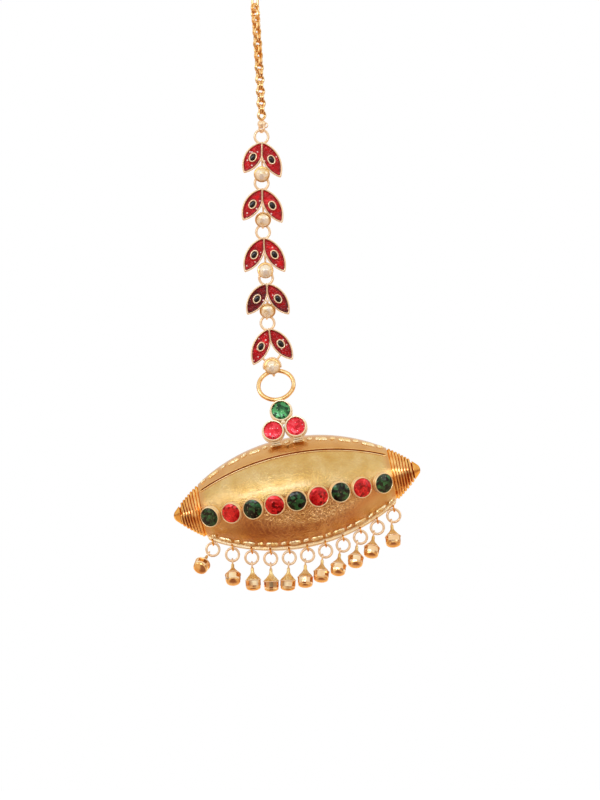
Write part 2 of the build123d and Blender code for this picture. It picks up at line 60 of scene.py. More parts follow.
# tilt, half the angle between the leaves, left and right leaf length, and from the leaves' common
# point to the domed disc, across and down
LINKS = [
    (1.5, 29.0, 9.5, 10.6, -0.05, 8.46),
    (0.6, 30.5, 9.9, 10.5, 0.20, 8.01),
    (-1.3, 30.0, 10.5, 10.7, 0.42, 8.75),
    (-1.6, 33.5, 9.8, 10.1, 0.18, 6.97),
    (-7.0, 30.0, 10.6, 10.4, 0.86, 10.06),
]
LEAF_HALF_WIDTH = 2.25
RIM = 0.42
EYE_OUTER = (1.02, 1.32)       # half the width and half the height of the ring round an eye
EYE_INNER = (0.68, 0.97)
LINK_RING_R = 1.85
LINK_WIRE_R = 0.25
LINK_RING_X, LINK_RING_Y = -0.2, 0.3
SMALL_CLAW = (0.85, 0.3)       # radius and wire
BIG_CLAW = (1.15, 0.35)
CLAW_PLAY = 0.12

DRUM_R = 14.65
DRUM_CURVE_R = 45.7
DRUM_HALF_LENGTH = 32.35
MM_PER_DEGREE = 0.25           # round the drum, at its middle
WALL = 0.5
SLIT_ANGLE = 46
SLIT_LENGTH = 48.6
SLIT_WIDTH = 0.5
LIP_HALF_LENGTH = 24.7
LIP_OFFSET = 0.43
TRIM_ANGLES = (67, -58)
TRIM_PITCH = 5.9
STRIP_ANGLE = -67
STRIP_HEIGHT = 0.75
STRIP_HALF_WIDTH = 0.48
WINDING_START = 25.1
WINDING_END = 31.0
WINDING_TURNS = 7

HEAD_LEAN = 14.5
BIG_RING_RISE = 3.9            # half its height, to the wire's centreline
BIG_RING_WIRE_R = 0.55
HEAD_CUPS = ((0, 10.95), (-3.0, 15.9), (3.0, 15.9))      # across the head, and down from the hinge
HEAD_CUP_R = 2.83
HEAD_BASE_R = 3.02
CUP_R = 2.68
CUP_BORE, HEAD_CUP_BORE = 2.5, 2.48
STONE_PLAY = 0.04
ROW_DROP = 1.5                 # how far the row of stones runs below the drum's middle line
ROW_PITCH = 5.66
ROW_SHIFT = -0.4

EYELET_R = 0.75
JUMP_RING_R = 1.75
SEAT = 0.13                    # an eye's centre below the wire that it hangs from
DROP_EYE_TO_BELT = 5.0
DROP_BELT_R = 2.0
# for each drop, in degrees: where its eye hangs on its ring, counted from the ring's lowest point,
# and how far it leans, both to the viewer's right, and how far it tilts towards the viewer
DROP_HANGS = [(-45, -30, 50), (0, 3, 34), (2, 4, 5), (0, 2, 0), (-6, -2, 0), (-20, 0, 12), (-28, -4, 22),
              (-30, -6, 26), (-30, -6, 28), (-32, -8, 26), (-20, 5, 22)]


# ---- places ----

def unit(vector):
    return np.asarray(vector, float) / np.linalg.norm(vector)


def shift(x, y, z):
    place = np.eye(4)
    place[:3, 3] = (x, y, z)
    return place


def turn(axis, degrees):
    c, s = math.cos(math.radians(degrees)), math.sin(math.radians(degrees))
    place = np.eye(4)
    i, j = {"x": (1, 2), "y": (2, 0), "z": (0, 1)}[axis]
    place[i, i] = place[j, j] = c
    place[j, i], place[i, j] = s, -s
    return place


def axes(origin, x, y, z):
    place = np.eye(4)
    for column, vector in enumerate((x, y, z, origin)):
        place[:3, column] = vector
    return place


def at(place, *point):
    """A point, or an array of points, taken from a place to the row frame."""
    points = np.asarray(point[0] if len(point) == 1 else point, float)
    return points @ place[:3, :3].T + place[:3, 3]


def middle_of(node):
    low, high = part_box(node)
    return np.array((low + high) / 2) / MM


FACING = turn("x", 90)         # turns what was made round +Z towards the viewer

joint = frame["joints"][0]
PIVOT = np.array(joint["pos_m"]) / MM
AXIS = unit(joint["axis"])
DRUM_MIDDLE = (middle_of("winding_left") + middle_of("winding_right")) / 2
PENDANT = axes(DRUM_MIDDLE, AXIS, (0, 1, 0), np.cross(AXIS, (0, 1, 0)))
HEAD = axes(PIVOT, *PENDANT[:3, :3].T) @ turn("x", -HEAD_LEAN)


def drum_radius(u, offset=0.0):
    """The drum's radius at a distance along it, and an offset above its surface."""
    return np.sqrt((DRUM_CURVE_R + offset) ** 2 - np.square(u)) - (DRUM_CURVE_R - DRUM_R)


def on_drum(u, across, angle, height):
    """A point of the drum in its own frame: along it, across a line at an angle, above the surface."""
    radius = drum_radius(u, height)
    bearing = math.radians(angle) + np.arcsin(np.clip(across / radius, -1, 1))
    return u, -radius * np.cos(bearing), radius * np.sin(bearing)


def surface_place(u, angle):
    """A place on the drum, in its own frame, with z along the outward normal."""
    slope = math.asin(u / DRUM_CURVE_R)
    c, s = math.cos(slope), math.sin(slope)
    flat = axes((u, -float(drum_radius(u)), 0), (c, s, 0), (0, 0, 1), (s, -c, 0))
    return turn("x", -angle) @ flat


# ---- numbers ----

def clip(level):
    return min(1.0, max(0.0, level))


def lumps(x, y, z):
    """Smooth noise between about -1 and 1."""
    return noise.noise(Vector((x, y, z)))


def full_turn(count):
    return np.arange(count) * 2 * math.pi / count


def xyz(x, y, z):
    """Points from their coordinates, each of which may be one number for them all."""
    return np.stack(np.broadcast_arrays(x, y, z), 1)


def circle(radius, angles, height):
    """Points round z; the radius may change from point to point."""
    return xyz(radius * np.cos(angles), radius * np.sin(angles), height)


def directions(path, closed):
    """The unit direction of a path at each of its points."""
    along = np.roll(path, -1, 0) - np.roll(path, 1, 0) if closed else np.gradient(path, axis=0)
    return along / np.linalg.norm(along, axis=1)[:, None]


# ---- mesh helpers: a part is its vertices and its faces ----

def new_object(name, data):
    obj = bpy.data.objects.new(name, data)
    bpy.context.scene.collection.objects.link(obj)
    return obj


class Shape:
    """Vertices in millimetres in the row frame, and faces, gathered from several parts."""

    def __init__(self):
        self.verts, self.faces, self.slots, self.values = [], [], [], []

    def add(self, part, place=None, slot=0, value=0.0):
        verts, faces = part
        verts = np.asarray(verts, float).reshape(-1, 3)
        if place is not None:
            verts = at(place, verts)
        base = len(self.verts)
        self.verts.extend(verts.tolist())
        self.faces.extend([tuple(base + i for i in face) for face in faces])
        self.slots.extend([slot] * len(faces))
        self.values.extend(value if hasattr(value, "__len__") else [value] * len(verts))
        return self


def piece(name, shape, materials, body, replaced=(), crease=40, keep_values=False):
    """Makes the object, welds its seams, creases its sharp edges and puts it on its body."""
    mesh = bpy.data.meshes.new(name)
    mesh.from_pydata((np.array(shape.verts) * MM).tolist(), [], shape.faces)
    mesh.polygons.foreach_set("material_index", shape.slots)
    for material in materials if isinstance(materials, list) else [materials]:
        mesh.materials.append(material)
    if keep_values:
        mesh.attributes.new("shade", "FLOAT", "POINT").data.foreach_set("value", shape.values)
    work = bmesh.new()
    work.from_mesh(mesh)
    bmesh.ops.remove_doubles(work, verts=work.verts, dist=2e-6)
    bmesh.ops.dissolve_degenerate(work, edges=work.edges, dist=1e-7)
    bmesh.ops.recalc_face_normals(work, faces=work.faces)
    work.to_mesh(mesh)
    work.free()
    mesh.polygons.foreach_set("use_smooth", [crease > 0] * len(mesh.polygons))
    if crease > 0:
        mesh.set_sharp_from_angle(angle=math.radians(crease))
    obj = new_object(name, mesh)
    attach(obj, body)
    if replaced:
        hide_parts(*replaced)


def rows_part(rows, around=True, closed=False, ends=False):
    """Quads over rows of points. Around joins each row's last point to its first, closed joins the last
    row to the first, and ends closes the first and last row with a face."""
    n, count, faces = len(rows), len(rows[0]), []
    for i in range(n if closed else n - 1):
        for j in range(count if around else count - 1):
            k, m = (i + 1) % n, (j + 1) % count
            faces.append((i * count + j, k * count + j, k * count + m, i * count + m))
    if ends:
        faces.append(tuple(range(count)))
        faces.append(tuple(range(n * count - 1, (n - 1) * count - 1, -1)))
    return np.concatenate([np.asarray(row, float) for row in rows]), faces


def facet_part(rows):
    """Triangles between rows of points, so that every facet is flat, and a face at each end."""
    n, faces = len(rows[0]), []
    for i in range(len(rows) - 1):
        for j in range(n):
            k = (j + 1) % n
            a, b, c, d = i * n + j, i * n + k, (i + 1) * n + k, (i + 1) * n + j
            faces += [(a, b, d), (b, c, d)]
    faces.append(tuple(range(n - 1, -1, -1)))
    faces.append(tuple(range((len(rows) - 1) * n, len(rows) * n)))
    return np.concatenate(rows), faces


def tube(points, radius, sides=10, closed=False):
    """Round wire along points, with rounded ends unless it is closed."""
    path = np.asarray(points, float)
    sizes = np.broadcast_to(np.asarray(radius, float), (len(path),))
    along = directions(path, closed)
    if not closed:
        bends = (1.45, 1.1, 0.6)
        rise = np.array([[math.sin(a)] for a in bends])
        narrow = np.array([math.cos(a) for a in bends])
        path = np.concatenate([path[0] - along[0] * sizes[0] * rise, path,
                               path[-1] + along[-1] * sizes[-1] * rise[::-1]])
        sizes = np.concatenate([sizes[0] * narrow, sizes, sizes[-1] * narrow[::-1]])
        along = np.concatenate([along[:1].repeat(3, 0), along, along[-1:].repeat(3, 0)])
    side = np.cross(along[0], (0, 0, 1) if abs(along[0][2]) < 0.8 else (0, 1, 0))
    firsts = []
    for tangent in along:
        side = unit(side - np.dot(side, tangent) * tangent)
        firsts.append(side)
    firsts, twist = np.array(firsts), np.zeros(len(path))
    if closed:
        last = unit(firsts[-1] - np.dot(firsts[-1], along[0]) * along[0])
        error = math.atan2(np.dot(np.cross(last, firsts[0]), along[0]), np.dot(last, firsts[0]))
        twist = np.linspace(0, error, len(path))
    rows = []
    for spot, first, second, size, start in zip(path, firsts, np.cross(along, firsts), sizes, twist):
        angles = start + full_turn(sides)
        rows.append(spot + size * np.outer(np.cos(angles), first) + size * np.outer(np.sin(angles), second))
    return rows_part(rows, closed=closed, ends=not closed)


def lathe(profile, segments):
    """A profile of (radius, height) turned round z."""
    return rows_part([circle(radius, full_turn(segments), height) for radius, height in profile])


def ring(radius, wire, steps, sides=10, wobble=0.0):
    """A closed round wire ring in the XZ plane."""
    angles = full_turn(steps)
    reach = radius * (1 + wobble * np.cos(2 * angles + 0.7))
    return tube(xyz(reach * np.sin(angles), 0, reach * np.cos(angles)), wire, sides, closed=True)


def cut_ring(radius, wire, cut_angle, gap=0.05, lean=0.04, steps=56):
    """A wire ring in the XZ plane with the hairline cut that a jump ring has."""
    half_gap = gap / 2 / radius
    angles = math.radians(cut_angle) + np.linspace(half_gap, 2 * math.pi - half_gap, steps)
    points = xyz(radius * np.sin(angles), np.linspace(-lean, lean, steps), radius * np.cos(angles))
    return tube(points[1:-1], wire)


def lumpy_ball(radius, dents, seed, level=4):
    """A ball with the shallow flats of a hand-finished bead."""
    work = bmesh.new()
    bmesh.ops.create_icosphere(work, subdivisions=level, radius=radius)
    verts = []
    for vert in work.verts:
        direction = vert.co.normalized()
        lump = noise.noise(direction * 1.9 + Vector((seed, 0, 0)))
        ridge = abs(noise.noise(direction * 3.1 + Vector((0, seed, 0))))
        verts.append(tuple(vert.co * (1 - dents * (0.5 + 0.5 * lump) - dents * ridge)))
    faces = [tuple(v.index for v in face.verts) for face in work.faces]
    work.free()
    return np.array(verts), faces


# ---- materials ----

def colour(red, green, blue):
    """A colour given as it is seen, 0 to 255, as the linear values that a shader takes."""
    values = []
    for level in (red, green, blue):
        level /= 255
        values.append(level / 12.92 if level <= 0.04045 else ((level + 0.055) / 1.055) ** 2.4)
    return (*values, 1.0)


def ramp_colour(level):
    """A ramp's stop is a number, a colour as it is seen (three values) or a linear one (four)."""
    if not hasattr(level, "__len__"):
        return (level, level, level, 1)
    return colour(*level) if len(level) == 3 else level


class Nodes:
    """A node tree, with short calls for the few kinds of node used here."""

    def __init__(self, tree):
        self.tree = tree
        tree.nodes.clear()

    def node(self, kind, inputs=(), **settings):
        """A new node. An input is another node's output, which is linked, or a value."""
        made = self.tree.nodes.new("ShaderNode" + kind)
        for key, value in settings.items():
            setattr(made, key, value)
        for key, source in dict(inputs).items():
            if isinstance(source, bpy.types.NodeSocket):
                self.tree.links.new(source, made.inputs[key])
            else:
                made.inputs[key].default_value = source
        return made

    def ramp(self, source, *stops):
        made = self.node("ValToRGB", {"Fac": source})
        band = made.color_ramp
        while len(band.elements) < len(stops):
            band.elements.new(0.5)
        for element, (position, level) in zip(band.elements, stops):
            element.position = position
            element.color = ramp_colour(level)
        return made.outputs["Color"]

    def math(self, operation, first, second):
        return self.node("Math", {0: first, 1: second}, operation=operation).outputs[0]

    def mix(self, factor, first, second):
        return self.node("Mix", {0: factor, 6: first, 7: second}, data_type="RGBA").outputs[2]

    def ranged(self, source, low, high, least=0.0):
        """Runs from least to 1 while the source runs from low to high."""
        inputs = {"Value": source, "From Min": low, "From Max": high, "To Min": least}
        return self.node("MapRange", inputs).outputs[0]


class Look(Nodes):
    """A material. Its constants are set on the shader's own sockets."""

    def __init__(self, name, **constants):
        self.material = bpy.data.materials.new(name)
        self.material.use_nodes = True
        super().__init__(self.material.node_tree)
        inputs = {key.replace("_", " "): value for key, value in constants.items()}
        self.shader = self.node("BsdfPrincipled", inputs)
        self.output = self.node("OutputMaterial", {0: self.shader.outputs[0]})
        self.position = self.node("TexCoord").outputs["Object"]

    def noise(self, scale, detail=3.0, roughness=0.5):
        inputs = {"Vector": self.position, "Scale": scale, "Detail": detail, "Roughness": roughness}
        return self.node("TexNoise", inputs).outputs[0]

    def cells(self, scale, output="Distance"):
        return self.node("TexVoronoi", {"Vector": self.position, "Scale": scale}).outputs[output]

    def flakes(self, scale, channel):
        """A level that is the same all over a cell."""
        return self.node("SeparateColor", {"Color": self.cells(scale, "Color")}).outputs[channel]

    def dots(self, scale, size, edge, chosen, full, channel):
        """Dots in the middle of some cells, those whose flake level is over a threshold."""
        spot = self.ramp(self.cells(scale), (size, 1.0), (edge, 0.0))
        pick = self.ramp(self.flakes(scale, channel), (chosen, 0.0), (chosen + 0.04, full))
        return self.math("MULTIPLY", spot, pick)

    def shade(self):
        return self.node("Attribute", attribute_name="shade").outputs["Fac"]

    def weigh(self, share, first, second):
        """A share of the first level and the rest of the second."""
        rest = self.math("MULTIPLY", second, 1 - share)
        return self.math("ADD", self.math("MULTIPLY", first, share), rest)

    def bump(self, height, distance, strength=1.0, under=None):
        inputs = {"Height": height, "Distance": distance, "Strength": strength}
        if under is not None:
            inputs["Normal"] = under
        return self.node("Bump", inputs).outputs[0]

    def set(self, **sources):
        for key, source in sources.items():
            self.tree.links.new(source, self.shader.inputs[key.replace("_", " ")])
        return self.material


EDGE_TINT = colour(232, 170, 100)
SOFT_EDGE = colour(246, 206, 150)


def gold(name, light, deep, rough=(0.10, 0.24), dent=6e-6, metal=1.0, grain=3200, edge=EDGE_TINT, ribs=0.0):
    """Plated metal: colour drifts over millimetres, and handling leaves fine uneven gloss."""
    look = Look(name, Metallic=metal, Specular_Tint=edge)
    drift = look.noise(450, 4)
    fine = look.noise(grain, 4, 0.6)
    tone = look.ramp(drift, (0.36, deep), (0.66, light))
    gloss = look.ramp(look.weigh(0.5, drift, fine), (0.3, rough[0]), (0.7, rough[1]))
    normal = look.bump(fine, dent)
    normal = look.bump(look.noise(990, 2), dent * 3, 0.8, normal)
    if ribs:
        wave = look.node("TexWave", {"Vector": look.position, "Scale": 560, "Distortion": 1.5})
        normal = look.bump(wave.outputs["Fac"], ribs, 1.0, normal)
    return look.set(Base_Color=tone, Roughness=gloss, Normal=normal)


def drum_gold(name):
    """Gold that runs with the mesh's shade value: 0 smooth, 0.45 satin, 0.65 darker and redder, a painted
    reflection, 1 crinkled and lighter, a painted sheen.
    """
    look = Look(name, Metallic=1.0, Specular_Tint=SOFT_EDGE, Coat_Weight=0.9, Coat_Roughness=0.18,
                Coat_IOR=1.65)
    shade = look.shade()
    drift = look.noise(260, 4)
    tone = look.ramp(drift, (0.35, (208, 150, 78)), (0.65, (218, 166, 94)))
    satin = ((0.32, (209, 170, 88)), (0.5, (218, 184, 110)), (0.7, (226, 198, 136)))
    # A darker, redder tone below the stones: a painted reflection of the dark, warm surroundings below.
    painted_reflection = ((0.32, (204, 138, 70)), (0.68, (222, 164, 98)))
    # A lighter tone where the drum is crinkled: a painted sheen for its glints.
    bright = ((0.35, (234, 190, 122)), (0.65, (250, 216, 160)))
    for start, full, stops in ((0.05, 0.4, satin), (0.46, 0.64, painted_reflection), (0.67, 0.9, bright)):
        tone = look.mix(look.ramp(shade, (start, 0.0), (full, 1.0)), tone, look.ramp(drift, *stops))
    speck = look.ramp(look.noise(2100, 3, 0.7), (0.42, 0.0), (0.60, 1.0))
    grainy = look.math("MULTIPLY", speck, look.ramp(shade, (0.1, 0.02), (0.5, 0.3)))
    tone = look.mix(grainy, tone, colour(200, 136, 62))
    gloss = look.ramp(look.noise(1500, 4, 0.65), (0.3, 0.12), (0.7, 0.26))
    fine = look.bump(look.noise(1800, 4, 0.7), 1.3e-4, look.ramp(shade, (0.0, 0.06), (0.45, 1.0)))
    worms = look.math("ABSOLUTE", look.math("SUBTRACT", look.noise(640, 3, 0.55), 0.5), 0)
    worms = look.ramp(worms, (0.0, 1.0), (0.07, 0.5), (0.22, 0.0))
    coarse = look.bump(worms, 3.6e-4, look.ramp(shade, (0.55, 0.0), (0.66, 0.14), (1.0, 1.0)), fine)
    return look.set(Base_Color=tone, Roughness=gloss, Normal=coarse)


def disc_look(name):
    """A disc: pale and mottled in the middle, a painted highlight, and gold where the mesh's shade value is
    high.
    """
    look = Look(name, Specular_Tint=SOFT_EDGE)
    shade = look.shade()
    mottle = look.noise(900, 4, 0.65)
    # The pale middle is a painted highlight.
    pale = look.ramp(mottle, (0.34, (240, 206, 140)), (0.5, (255, 244, 218)), (0.62, (255, 252, 244)))
    rim = look.ramp(mottle, (0.35, (232, 180, 108)), (0.65, (250, 212, 146)))
    tone = look.mix(look.ramp(shade, (0.1, 0.0), (0.9, 1.0)), pale, rim)
    gloss = look.ramp(look.noise(2200, 3, 0.6), (0.3, 0.14), (0.7, 0.3))
    metal = look.ramp(shade, (0.0, 0.3), (1.0, 1.0))
    return look.set(Base_Color=tone, Metallic=metal, Roughness=gloss, Normal=look.bump(mottle, 9e-5, 0.8))


def enamel_look(name):
    """Translucent red over glitter: bright flakes, pale dots that are painted glints, and painted shade,
    darker where the mesh's shade value is high.
    """
    look = Look(name, Coat_Weight=0.4, Coat_Roughness=0.03, IOR=1.2)
    level = look.flakes(1900, 0)
    mixed = look.weigh(0.6, level, look.flakes(4200, 1))
    red = look.ramp(mixed, (0.12, (178, 2, 12)), (0.4, (222, 8, 22)), (0.66, (244, 20, 34)),
                    (0.88, (255, 76, 80)))
    red = look.mix(look.ramp(look.noise(560, 3), (0.38, 0.0), (0.62, 0.7)), red, colour(158, 0, 12))
    # The darker red, mixed in by the shade value, is painted shade.
    dark = look.mix(look.ramp(mixed, (0.3, 0.0), (0.9, 0.6)), colour(60, 0, 6), colour(160, 8, 22))
    tone = look.mix(look.ramp(look.shade(), (0.0, 0.0), (1.0, 0.95)), red, dark)
    # Pale dots in the colour: painted glints.
    tone = look.mix(look.dots(880, 0.15, 0.22, 0.52, 1.0, 2), tone, colour(255, 226, 226))
    metal = look.ramp(mixed, (0.60, 0.0), (0.9, 0.3))
    gloss = look.ramp(look.noise(2400, 2), (0.3, 0.16), (0.7, 0.34))
    ripple = look.bump(look.noise(1300, 3, 0.6), 3.2e-4, 0.9)
    return look.set(Base_Color=tone, Metallic=metal, Roughness=gloss, Normal=look.bump(level, 2.5e-5, 0.6),
                    Coat_Normal=ripple)


def black_look(name):
    look = Look(name, Coat_Weight=0.5, Coat_Roughness=0.02, IOR=1.3)
    tone = look.ramp(look.noise(1600, 3), (0.3, (10, 6, 8)), (0.7, (34, 18, 20)))
    gloss = look.ramp(look.noise(3000, 2), (0.3, 0.12), (0.7, 0.3))
    return look.set(Base_Color=tone, Roughness=gloss, Normal=look.bump(look.noise(2600, 2), 8e-6, 0.6))


def stone_look(name, bright, mid, dark, painted_glint):
    """A foil-backed glass stone: coloured foil flakes that show through a clear polished face, with pale
    dots painted in as glints.
    """
    look = Look(name, Coat_Weight=0.5, Coat_Roughness=0.02)
    level = look.flakes(1300, 1)
    tone = look.ramp(look.weigh(0.55, level, look.noise(420, 2)), (0.18, dark), (0.45, mid), (0.82, bright))
    # Pale dots in the colour: painted glints.
    tone = look.mix(look.dots(1700, 0.16, 0.26, 0.72, 0.85, 0), tone, colour(*painted_glint))
    metal = look.ramp(level, (0.2, 0.75), (0.9, 0.35))
    gloss = look.ramp(look.noise(1500, 3), (0.3, 0.16), (0.7, 0.36))
    return look.set(Base_Color=tone, Metallic=metal, Roughness=gloss, Normal=look.bump(level, 9e-5, 0.9))


POLISHED = gold("polished_gold", (255, 226, 174), (246, 202, 132))
PALE = gold("pale_gold_rims", (255, 236, 204), (255, 224, 184), metal=0.4)
RING_GOLD = gold("big_ring_gold", (255, 232, 180), (240, 188, 118), (0.08, 0.2), 2.4e-5, 0.9)
RICH = gold("rich_gold", (248, 200, 116), (232, 160, 80), (0.16, 0.30), edge=SOFT_EDGE)
WOUND = gold("wound_wire_gold", (255, 212, 140), (232, 164, 92), edge=SOFT_EDGE)
TRIM_GOLD = gold("trim_gold", (255, 243, 208), (250, 218, 150), (0.14, 0.28), 4e-5, 0.7)
STRIP_GOLD = gold("strip_gold", (255, 242, 206), (254, 222, 162), (0.24, 0.38), 2e-5, 0.4, 2600, ribs=5e-5)
CUP_GOLD = gold("cup_gold", (255, 245, 220), (254, 234, 196), (0.14, 0.28), 1e-5, 0.3)
ROW_CUP_GOLD = gold("row_cup_gold", (255, 236, 194), (253, 218, 160), (0.12, 0.26), 1e-5, 0.45)
DROP_GOLD = gold("drop_mirror_gold", (255, 236, 200), (248, 206, 156), (0.02, 0.08), 8e-6)
FOOT_GOLD = gold("drop_foot_gold", (255, 220, 158), (244, 190, 118), (0.08, 0.2), 8e-6, 0.9)
CAP_GOLD = gold("grained_cap_gold", (255, 240, 184), (238, 196, 116), (0.16, 0.32), 6e-5, 0.65, 3600)
# The drum's inside and the slit's walls: dull, dark reddish-brown, painted shade.
SHADED_INSIDE = gold("drum_inside_painted_shade", (206, 96, 44), (160, 62, 26), (0.5, 0.75), metal=0.1)
DISC_GOLD = disc_look("disc_gold")
SATIN = drum_gold("satin_drum_gold")
RED_ENAMEL = enamel_look("red_glitter_enamel")
BLACK_ENAMEL = black_look("black_enamel_look")
ROW_RED = stone_look("row_red_stones", (255, 44, 48), (206, 4, 14), (116, 0, 4), (255, 130, 120))
# One green glass in two copies: the row's is darker, painted shade, and the head's lighter.
SHADED_ROW_GREEN = stone_look("row_green_stones_painted_shade", (46, 118, 62), (20, 26, 14), (8, 6, 4), (150, 150, 120))
HEAD_RED = stone_look("head_red_stones", (255, 70, 90), (238, 22, 48), (190, 2, 24), (255, 220, 224))
HEAD_GREEN = stone_look("head_green_stone", (90, 200, 120), (6, 84, 40), (0, 34, 14), (176, 224, 186))


# ---- hook, chain and bead ----

CHAIN_WIRE_R = 0.29
CHAIN_HALF_WIDTH = 0.9         # centreline of a link
CHAIN_STATIONS = 19
BEAD_R = 1.15


def make_hook():
    hook = frame["nodes"]["hair_hook"]
    for slot in hook.material_slots:
        slot.material = POLISHED


def make_chain():
    """A double cable chain: pairs of round links, each pair square to the next, with a slow twist."""
    start = np.array([0.0, 0.0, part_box("hair_hook")[0].z / MM + 0.6 + CHAIN_WIRE_R - 1.04])
    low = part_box("chain")[0]
    end = np.array([middle_of("chain_bead")[0], low.y / MM + 1.2, low.z / MM + 1.0])
    shape = Shape()
    pitch = np.linalg.norm(end - start) / (CHAIN_STATIONS - 1)
    half_length = (pitch + 2 * CHAIN_WIRE_R) / 2
    angles = full_turn(28)
    for station in range(CHAIN_STATIONS):
        share = station / (CHAIN_STATIONS - 1)
        bow = 0.12 * math.sin(math.pi * share)
        centre = start + (end - start) * share + np.array([bow, 0, 0])
        swing = 48 - 34 * share + (90 if station % 2 else 0) + random.uniform(-9, 9)
        place = shift(*centre) @ turn("z", swing) @ turn("y", random.uniform(-3, 3))
        for side in (-1, 1):
            points = xyz(CHAIN_HALF_WIDTH * np.sin(angles), side * (0.32 + 0.02 * np.cos(2 * angles)),
                         half_length * np.cos(angles))
            shape.add(tube(points, CHAIN_WIRE_R, 8, closed=True), place)
    piece("chain_links", shape, POLISHED, "upper", ["chain"])


def make_bead():
    """The bead, the eye below it and a small loop beside it."""
    low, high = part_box("chain_bead")
    x, y, _ = middle_of("chain_bead")
    z = high.z / MM - BEAD_R
    shape = Shape()
    shape.add(lumpy_ball(BEAD_R, 0.05, 2.3), shift(x, y, z))
    shape.add(ring(1.0, 0.26, 40), shift(x, y, low.z / MM + 1.28) @ turn("z", 90 + 38))
    side_loop = shift(x + 1.0, y - 0.25, z - 0.35)
    shape.add(ring(0.62, 0.17, 32, 8), side_loop @ turn("z", -25) @ turn("y", 20))
    piece("chain_bead_and_eye", shape, PALE, "upper", ["chain_bead"])


# ---- leaf links ----

# inset and depth of the rim's section, from the back round the front to the floor
RIM_SECTION = [(0.10, 0.60), (0.0, 0.52), (0.0, -0.36), (0.03, -0.47), (0.09, -0.56), (0.18, -0.6),
               (0.27, -0.59), (0.35, -0.53), (0.40, -0.44), (RIM, -0.3), (RIM, -0.03)]
# how far out and how deep the ring round an eye, and the eye's own dome, are; see Leaf.ovals
EYE_RING = ((1.06, -0.1), (1.02, -0.46), (0.86, -0.56), (0.55, -0.6), (0.22, -0.57), (0.0, -0.48),
            (-0.02, -0.1))
EYE_DOME = ((0.0, -0.2), (0.0, -0.44), (-0.3, -0.49), (-0.8, -0.53), (-1.4, -0.56), (-1.9, -0.57))
DISC_R, DISC_RIM, DISC_DOME = 2.1, 1.7, 0.85
DISC_TILTS = (6, 24, -4, 26, 0)      # how far each disc looks up, in degrees
# painted shade on some of the enamel: how dark it is at the top and at the tip; by link, and -1 for the left
# leaf
LEAF_PAINTED_SHADE = {(4, -1): (0.75, 0.85), (4, 1): (0.05, 0.8), (3, -1): (0.2, 0.15), (5, 1): (0.1, 0.3)}
USUAL_LEAF_PAINTED_SHADE = (0.0, 0.05)


def flat_rows(loop, depth):
    """A loop of (x, z) at a depth, as points."""
    return xyz(loop[:, 0], depth, loop[:, 1])


